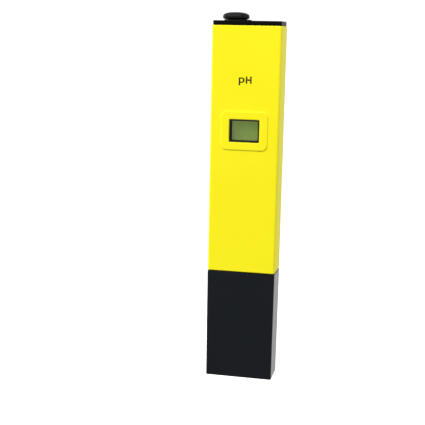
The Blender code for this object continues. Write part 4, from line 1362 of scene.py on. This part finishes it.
cellPlan = {
    "count": 4,
    "can": (
        (0, 5.04), (3.5, 5.04), (3.6, 5.1), (4.9, 5.1), (5.35, 5.03), (5.62, 4.8), (5.7, 4.45), (5.7, 0.65),
        (5.6, 0.38), (5.3, 0.22), (5.05, 0.2), (4.95, 0.26), (4.95, 0.55), (0, 0.55),
    ),
    "gasket": ((4.5, 0.2), (4.6, 0.14), (4.85, 0.16), (4.92, 0.24), (4.92, 0.5), (4.5, 0.5), (4.5, 0.2)),
    "cover": ((0, 0), (4.1, 0), (4.35, 0.05), (4.46, 0.18), (4.46, 0.5), (0, 0.5)),
    "spring": {
        "radius": 0.18, "turns": 2.25, "wide": 3.0, "narrow": 1.6, "xs": (-10.9, -10.28), "z": 138.1,
        "steps": 54,
    },
}
stripPlan = {
    "contactPositive": {
        "node": "contact_positive", "body": "tray", "half": 3.0, "thick": 0.3,
        "path": ((11.35, 127.3), (11.35, 142.6)), "corner": 0.7,
        "dimple": ((0, -0.14), (0.7, -0.11), (1.1, -0.04), (1.3, 0.02), (1.3, 0.1), (0, 0.1)),
        "dimpleX": 11.2,
    },
    "contactNegative": {
        "node": "contact_negative", "body": "tray", "half": 3.0, "thick": 0.3,
        "path": ((-11.35, 133.6), (-11.35, 145.7), (-6.6, 145.7)), "corner": 0.7,
    },
    "contactSwitched": {
        "node": "contact_switched", "body": "tray", "half": 1.5, "thick": 0.3,
        "path": ((-12.8, 127.3), (-12.8, 147.6), (-9.7, 147.6)), "corner": 0.5,
    },
    "boardFingerRight": {
        "node": "board_finger_right", "body": "case", "ys": (-2.6, 0.7), "thick": 0.25,
        "path": ((10.6, 117.5), (10.6, 123), (10.85, 126.5), (11.0, 129), (10.7, 130.1)),
        "corner": 0.5,
    },
    "boardFingerLeft": {
        "node": "board_finger_left", "body": "case", "ys": (-2.6, 0.7), "thick": 0.25,
        "path": ((-11.9, 117.5), (-11.9, 123), (-12.2, 126.5), (-12.42, 129), (-12.1, 130.1)),
        "corner": 0.5,
    },
}


def makeCells(plan):
    # the first cell is copied along the stack
    low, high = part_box("button_cell_1")
    middle = (low.z + high.z) / 2
    parts = (
        ("Can", "cellSteel", "steel"), ("Gasket", "sealRubber", "rubber"), ("Cover", "cellSteel", "steel"),
    )
    for label, material, slotName in parts:
        cells = [addTurned("cell1" + label, inMm(plan[label.lower()]), (low.x, 0, middle), "X", 64)]
        shade(cells[0])
        for number in range(2, plan["count"] + 1):
            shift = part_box("button_cell_" + str(number))[0].x - low.x
            cells.append(copyPiece(cells[0], "cell" + str(number) + label, (shift, 0, 0)))
        for number, cell in enumerate(cells, 1):
            nodes = ["button_cell_" + str(number)] if label == "Can" else []
            finishPiece(cell, material, "tray", slotName, *nodes)

    coil = plan["spring"]
    start, end = coil["xs"]
    points = []
    for i in range(coil["steps"] + 1):
        share = i / coil["steps"]
        turn = 2 * math.pi * coil["turns"] * share
        radius = coil["wide"] + (coil["narrow"] - coil["wide"]) * share
        x = start + (end - start) * share
        points.append((x * mm, radius * math.cos(turn) * mm, (coil["z"] + radius * math.sin(turn)) * mm))
    spring = addWire("cellSpring", points, coil["radius"] * mm)
    shade(spring, 40)
    finishPiece(spring, "springMetal", "tray", "spring_metal", "cell_spring")


def makeStrip(name, strip):
    low, high = strip.get("ys", (-strip.get("half", 0), strip.get("half", 0)))
    path = inMm(strip["path"])
    piece = addRibbon(name, path, low * mm, high * mm, strip["thick"] * mm)
    startX, startZ = path[0]
    endX, endZ = path[-1]
    reach = strip["thick"] * 0.8 * mm

    def isCorner(a, b):
        # the short edges at both free ends
        middle = (a + b) / 2
        short = (b - a).length < 1.5 * strip["thick"] * mm and near(a.y, b.y)
        ends = ((startX, startZ), (endX, endZ))
        return short and any(math.hypot(middle.x - x, middle.z - z) < reach for x, z in ends)

    bevelEdges(piece, isCorner, strip["corner"] * mm, 4)
    if "dimple" in strip:
        spot = (strip["dimpleX"] * mm, 0, cellPlan["spring"]["z"] * mm)
        join(piece, addTurned("dimple", inMm(strip["dimple"]), spot, "X", 32))
    shade(piece)
    finishPiece(piece, "springMetal", strip["body"], "spring_metal", strip["node"])


makeCells(cellPlan)
for name, strip in stripPlan.items():
    makeStrip(name, strip)
print("cells and contact strips made")


# slide switch

switchPlan = {
    "corner": 0.4 * mm,
    "edge": 0.2 * mm,
    "sliderEdge": 0.15 * mm,
    "guide": (2.0 * mm, 1.2 * mm, 147.2 * mm),  # half length, half width, floor
    "sideGroove": (0.25 * mm, 0.5 * mm),  # depth and height
    "nickZs": (147.9 * mm, 148.5 * mm, 149.1 * mm),
    "nick": (3 * mm, 0.2 * mm, 0.25 * mm),
}


def makeSwitch(plan):
    low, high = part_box("switch_housing")
    x = (low.x + high.x) / 2
    housing = addRoundedBlock("switchHousing", low, high, plan["corner"], "Z", 4)
    for end in (high.z, low.z):
        bevelEdges(housing, atHeight("Z", end), plan["edge"], 2)
    halfLong, halfWide, floor = plan["guide"]
    guide = addBlock("guide", (x - halfLong, -halfWide, floor), (x + halfLong, halfWide, high.z + mm))
    carve(housing, guide)
    deep, tall = plan["sideGroove"]
    middle = (low.z + high.z) / 2
    for side in (-1, 1):
        groove = addCentredBlock("groove", (x, side * high.y, middle), (20 * mm, 2 * deep, tall))
        carve(housing, groove)
    shade(housing)
    finishPiece(housing, "switchNylon", "tray", "switch_body", "switch_housing")

    low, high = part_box("switch_slider")
    slider = addBlock("switchSlider", low, high)
    bevelEdges(slider, lambda a, b: True, plan["sliderEdge"], 3)
    for z in plan["nickZs"]:
        for side in (-1, 1):
            spot = ((low.x + high.x) / 2, side * high.y, z)
            carve(slider, addCentredBlock("nick", spot, plan["nick"]))
    shade(slider)
    finishPiece(slider, "switchNylon", "switch", "switch_body", "switch_slider")


makeSwitch(switchPlan)
print("slide switch made")


# circuit board and what it carries

boardPlan = {
    "edge": 0.08 * mm,
    "corner": 0.8 * mm,
    "screwX": 8.0 * mm,
    "screwZ": 67.0 * mm,
    "holeRadius": 1.1 * mm,
    "copper": 0.035 * mm,
    "copperEdge": 0.01 * mm,
    "displayPads": 22,
    "padPitch": 0.8 * mm,
    "padSize": (0.45 * mm, 1.3 * mm),
    "padZ": 106.7 * mm,
    "padSpread": 6.1 * mm,
    "traces": (  # x from, x to, z from, z to on the back, in mm
        (-7.7, -7.3, 80.6, 84.6), (-7.5, -4.7, 84.3, 84.7), (-8.7, -8.3, 100.4, 104.0),
        (-8.5, -4.9, 103.7, 104.1), (7.8, 8.2, 100.6, 105.0), (4.9, 8.2, 104.7, 105.1),
        (6.3, 6.7, 81.3, 84.8), (4.3, 6.7, 84.5, 84.9), (9.3, 9.7, 81.3, 96.4), (8.0, 9.7, 96.1, 96.5),
        (-0.2, 0.2, 81.6, 92.0), (-2.2, 0.2, 91.7, 92.1), (-2.4, -2.0, 91.7, 101.6), (1.0, 1.4, 82.0, 101.6),
        (-11.6, -11.2, 84.0, 121.0), (10.9, 11.3, 84.0, 121.0), (-11.4, -8.5, 96.2, 96.6),
        (-6.5, -2.6, 72.2, 72.6), (-2.8, -2.4, 72.4, 76.2), (3.3, 3.7, 72.2, 76.2), (-9.9, -9.5, 84.0, 94.0),
        (-9.7, -4.9, 90.7, 91.1), (4.9, 8.0, 90.7, 91.1),
    ),
}


def makeBoard(plan):
    low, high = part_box("circuit_board")
    board = addRoundedBlock("circuitBoard", low, high, plan["corner"], "Y", 5)
    for face in (low.y, high.y):
        bevelEdges(board, atHeight("Y", face), plan["edge"], 1)
    middle = (low.y + high.y) / 2
    for side in (-1, 1):
        spot = (side * plan["screwX"], middle, plan["screwZ"])
        carve(board, addRod("hole", spot, plan["holeRadius"], 3 * mm, "Y", 32))
    shade(board)
    finishPiece(board, "boardMask", "case", "board", "circuit_board")

    thin = plan["copper"]
    copper = []
    for row in (-1, 1):
        for i in range(plan["displayPads"]):
            x = (i - (plan["displayPads"] - 1) / 2) * plan["padPitch"]
            wide, tall = plan["padSize"]
            spot = (x, low.y - thin / 2, plan["padZ"] + row * plan["padSpread"])
            copper.append(addCentredBlock("displayPad", spot, (wide, thin, tall)))
    for left, right, bottom, top in plan["traces"]:
        corners = ((left * mm, high.y, bottom * mm), (right * mm, high.y + thin, top * mm))
        copper.append(addBlock("trace", *corners))
    copper = weld(copper)
    copper.name = "boardCopper"
    softenEdges(copper, plan["copperEdge"], 1)
    finishPiece(copper, "padGold", "case", "spring_metal")


resinPlan = {
    "blob": (
        (0, 1.3), (1.1, 1.27), (2.1, 1.15), (3.0, 0.92), (3.7, 0.62), (4.2, 0.3), (4.45, 0.1), (4.5, 0.03),
        (4.5, 0), (0, 0),
    ),
    "chipEdge": 0.18 * mm,
    "chipLift": 0.12 * mm,  # off the board, on its leads
    "chipDot": (0.9 * mm, 0.35 * mm, 0.08 * mm),  # the first lead's dot: inset, radius and depth
    "leadPitch": 1.27 * mm,
    "leadWidth": 0.42 * mm,
    "leadReach": 0.9 * mm,
    "leadThickness": 0.2 * mm,
    "leadEdge": 0.04 * mm,
    "partEdge": 0.1 * mm,
    "endCap": 0.55 * mm,
    "endEdge": 0.08 * mm,
    "capLift": 0.05 * mm,
    "parts": {
        "capacitor_filter": ("capacitorFilter", "capacitorTan"),
        "capacitor_supply": ("capacitorSupply", "capacitorTan"),
        "resistor_feedback": ("resistorFeedback", "chipResin"),
        "resistor_divider": ("resistorDivider", "chipResin"),
        "resistor_bias": ("resistorBias", "chipResin"),
    },
}


def makeResin(plan):
    low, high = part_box("converter_chip")
    centre = ((low.x + high.x) / 2, low.y, (low.z + high.z) / 2)
    blob = addTurned("converterBlob", inMm(plan["blob"]), centre, "Y", 48)
    shade(blob, 50)
    finishPiece(blob, "chipResin", "case", "chip", "converter_chip")

    low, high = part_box("amplifier_chip")
    chip = addBlock("amplifierChip", (low.x, low.y + plan["chipLift"], low.z), high)
    bevelEdges(chip, lambda a, b: near(a.y, high.y) and near(b.y, high.y), plan["chipEdge"], 2)
    inset, radius, deep = plan["chipDot"]
    carve(chip, addRod("dot", (low.x + inset, high.y, low.z + inset), radius, 2 * deep, "Y", 20))
    shade(chip)
    finishPiece(chip, "chipResin", "case", "chip", "amplifier_chip")
    leads = []
    width, thick, reach = plan["leadWidth"], plan["leadThickness"], plan["leadReach"]
    middle = (low.y + high.y) / 2
    for side in (-1, 1):
        edge = high.z if side > 0 else low.z
        for i in range(4):
            x = (low.x + high.x) / 2 + (i - 1.5) * plan["leadPitch"]
            steps = (  # shoulder, riser and foot: y, share of the reach, height and length
                (middle, 0.2, thick, reach * 0.6),
                ((middle + low.y) / 2, 0.4, middle - low.y + thick, thick),
                (low.y + thick / 2, 0.7, thick, reach * 0.6),
            )
            for y, share, tall, length in steps:
                spot = (x, y, edge + side * reach * share)
                leads.append(addCentredBlock("lead", spot, (width, tall, length)))
    leads = weld(leads)
    leads.name = "amplifierLeads"
    softenEdges(leads, plan["leadEdge"], 2)
    finishPiece(leads, "springMetal", "case", "spring_metal")

    for node, (name, material) in plan["parts"].items():
        low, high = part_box(node)
        inset = Vector((plan["capLift"], plan["capLift"], plan["capLift"]))
        body = addBlock(name, low + inset, high - inset)
        bevelEdges(body, lambda a, b: True, plan["partEdge"], 2)
        shade(body)
        finishPiece(body, material, "case", "chip", node)
        ends = []
        for bottom, top in ((low.z, low.z + plan["endCap"]), (high.z - plan["endCap"], high.z)):
            end = addBlock("end", (low.x, low.y, bottom), (high.x, high.y, top))
            bevelEdges(end, lambda a, b: True, plan["endEdge"], 2)
            ends.append(end)
        ends = weld(ends)
        ends.name = name + "Ends"
        shade(ends)
        finishPiece(ends, "springMetal", "case", "spring_metal")


trimmerPlan = {
    "corner": 0.35 * mm,
    "edge": 0.25 * mm,
    "well": (2.0 * mm, 1.3 * mm),  # radius and depth
    "slot": (0.6 * mm, 0.5 * mm),  # width and depth
    "screwEdge": 0.12 * mm,
    "tick": (0.16 * mm, 0.1 * mm, 0.35 * mm),  # radius, depth and distance from the well
    "tickTurns": (-130, -65, 0, 65, 130),
}


def makeTrimmers(plan):
    low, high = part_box("trimmer_offset_body")
    x, z = (low.x + high.x) / 2, (low.z + high.z) / 2
    shift = (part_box("trimmer_slope_body")[0].x - low.x, 0, 0)
    body = addRoundedBlock("offsetTrimmerBody", low, high, plan["corner"], "Y", 3)
    bevelEdges(body, atHeight("Y", high.y), plan["edge"], 2)
    radius, deep = plan["well"]
    carve(body, addRod("well", (x, high.y, z), radius, 2 * deep, "Y", 48))
    tickRadius, tickDeep, tickGap = plan["tick"]
    far = radius + tickGap
    for turn in plan["tickTurns"]:
        angle = math.radians(turn)
        spot = (x + far * math.sin(angle), high.y, z + far * math.cos(angle))
        carve(body, addRod("tick", spot, tickRadius, 2 * tickDeep, "Y", 12))
    shade(body)

    low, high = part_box("trimmer_offset_screw")
    radius = (high.x - low.x) / 2
    screw = addRod("offsetTrimmerScrew", (x, (low.y + high.y) / 2, z), radius, high.y - low.y, "Y", 48)
    bevelEdges(screw, atHeight("Y", high.y), plan["screwEdge"], 3)
    bevelEdges(screw, atHeight("Y", low.y), plan["screwEdge"] / 2, 1)
    width, depth = plan["slot"]
    carve(screw, addCentredBlock("slot", (x, high.y, z), (width, 2 * depth, 5 * radius)))
    shade(screw)

    # the slope trimmer is the same part beside it
    pairs = {
        "offset": (body, screw),
        "slope": (copyPiece(body, "slopeTrimmerBody", shift), copyPiece(screw, "slopeTrimmerScrew", shift)),
    }
    for label, (body, screw) in pairs.items():
        finishPiece(body, "trimmerBlue", "case", "trimmer", "trimmer_" + label + "_body")
        finishPiece(screw, "trimmerBrass", label + "_screw", "brass", "trimmer_" + label + "_screw")


screwPlan = {
    "head": (
        (0, -0.4), (0.7, -0.38), (1.2, -0.25), (1.55, 0.0), (1.7, 0.3), (1.7, 0.62), (1.62, 0.7), (0.78, 0.7),
    ),
    "threads": 8,
    "threadStart": 1.3,
    "threadPitch": 0.38,
    "threadRoot": 0.62,
    "threadCrest": 0.8,
    "tip": ((0.55, 4.5), (0.3, 4.8), (0, 4.8)),
    "cross": (0.32 * mm, 1.7 * mm, 0.5 * mm),  # width, length and depth
}


def makeBoardScrews(plan):
    profile = list(plan["head"])
    root, crest, pitch = plan["threadRoot"], plan["threadCrest"], plan["threadPitch"]
    for i in range(plan["threads"]):
        y = plan["threadStart"] + i * pitch
        profile += [(root, y), (crest, y + 0.4 * pitch), (crest, y + 0.5 * pitch)]
    profile += plan["tip"]
    x, z = boardPlan["screwX"], boardPlan["screwZ"]
    left = addTurned("boardScrewLeft", inMm(profile), (-x, 0, z), "Y", 32)
    width, length, depth = plan["cross"]
    top = plan["head"][0][1] * mm
    for size in ((width, 2 * depth, length), (length, 2 * depth, width)):
        carve(left, addCentredBlock("cross", (-x, top, z), size))
    shade(left)
    right = copyPiece(left, "boardScrewRight", (2 * x, 0, 0))
    for screw, node in ((left, "board_screw_left"), (right, "board_screw_right")):
        finishPiece(screw, "screwSteel", "case", "steel", node)


def makeElastomers():
    # carbon and silicone layers side by side
    for label in ("upper", "lower"):
        node = "contact_strip_" + label
        low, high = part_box(node)
        strip = addBlock("contactStrip" + label.capitalize(), low, high)
        bevelEdges(strip, lambda a, b: True, 0.12 * mm, 2)
        shade(strip)
        finishPiece(strip, "layeredRubber", "case", "elastomer", node)


makeBoard(boardPlan)
makeResin(resinPlan)
makeTrimmers(trimmerPlan)
makeBoardScrews(screwPlan)
makeElastomers()
print("circuit board made")


# carried-over nodes

nodeFinishes = {
    "lead_measuring": "leadWhite",
    "lead_reference": "leadRed",
}
for node, finish in nodeFinishes.items():
    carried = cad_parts[node]
    carried.data.materials.clear()
    carried.data.materials.append(materials[finish])
print("carried-over nodes finished")
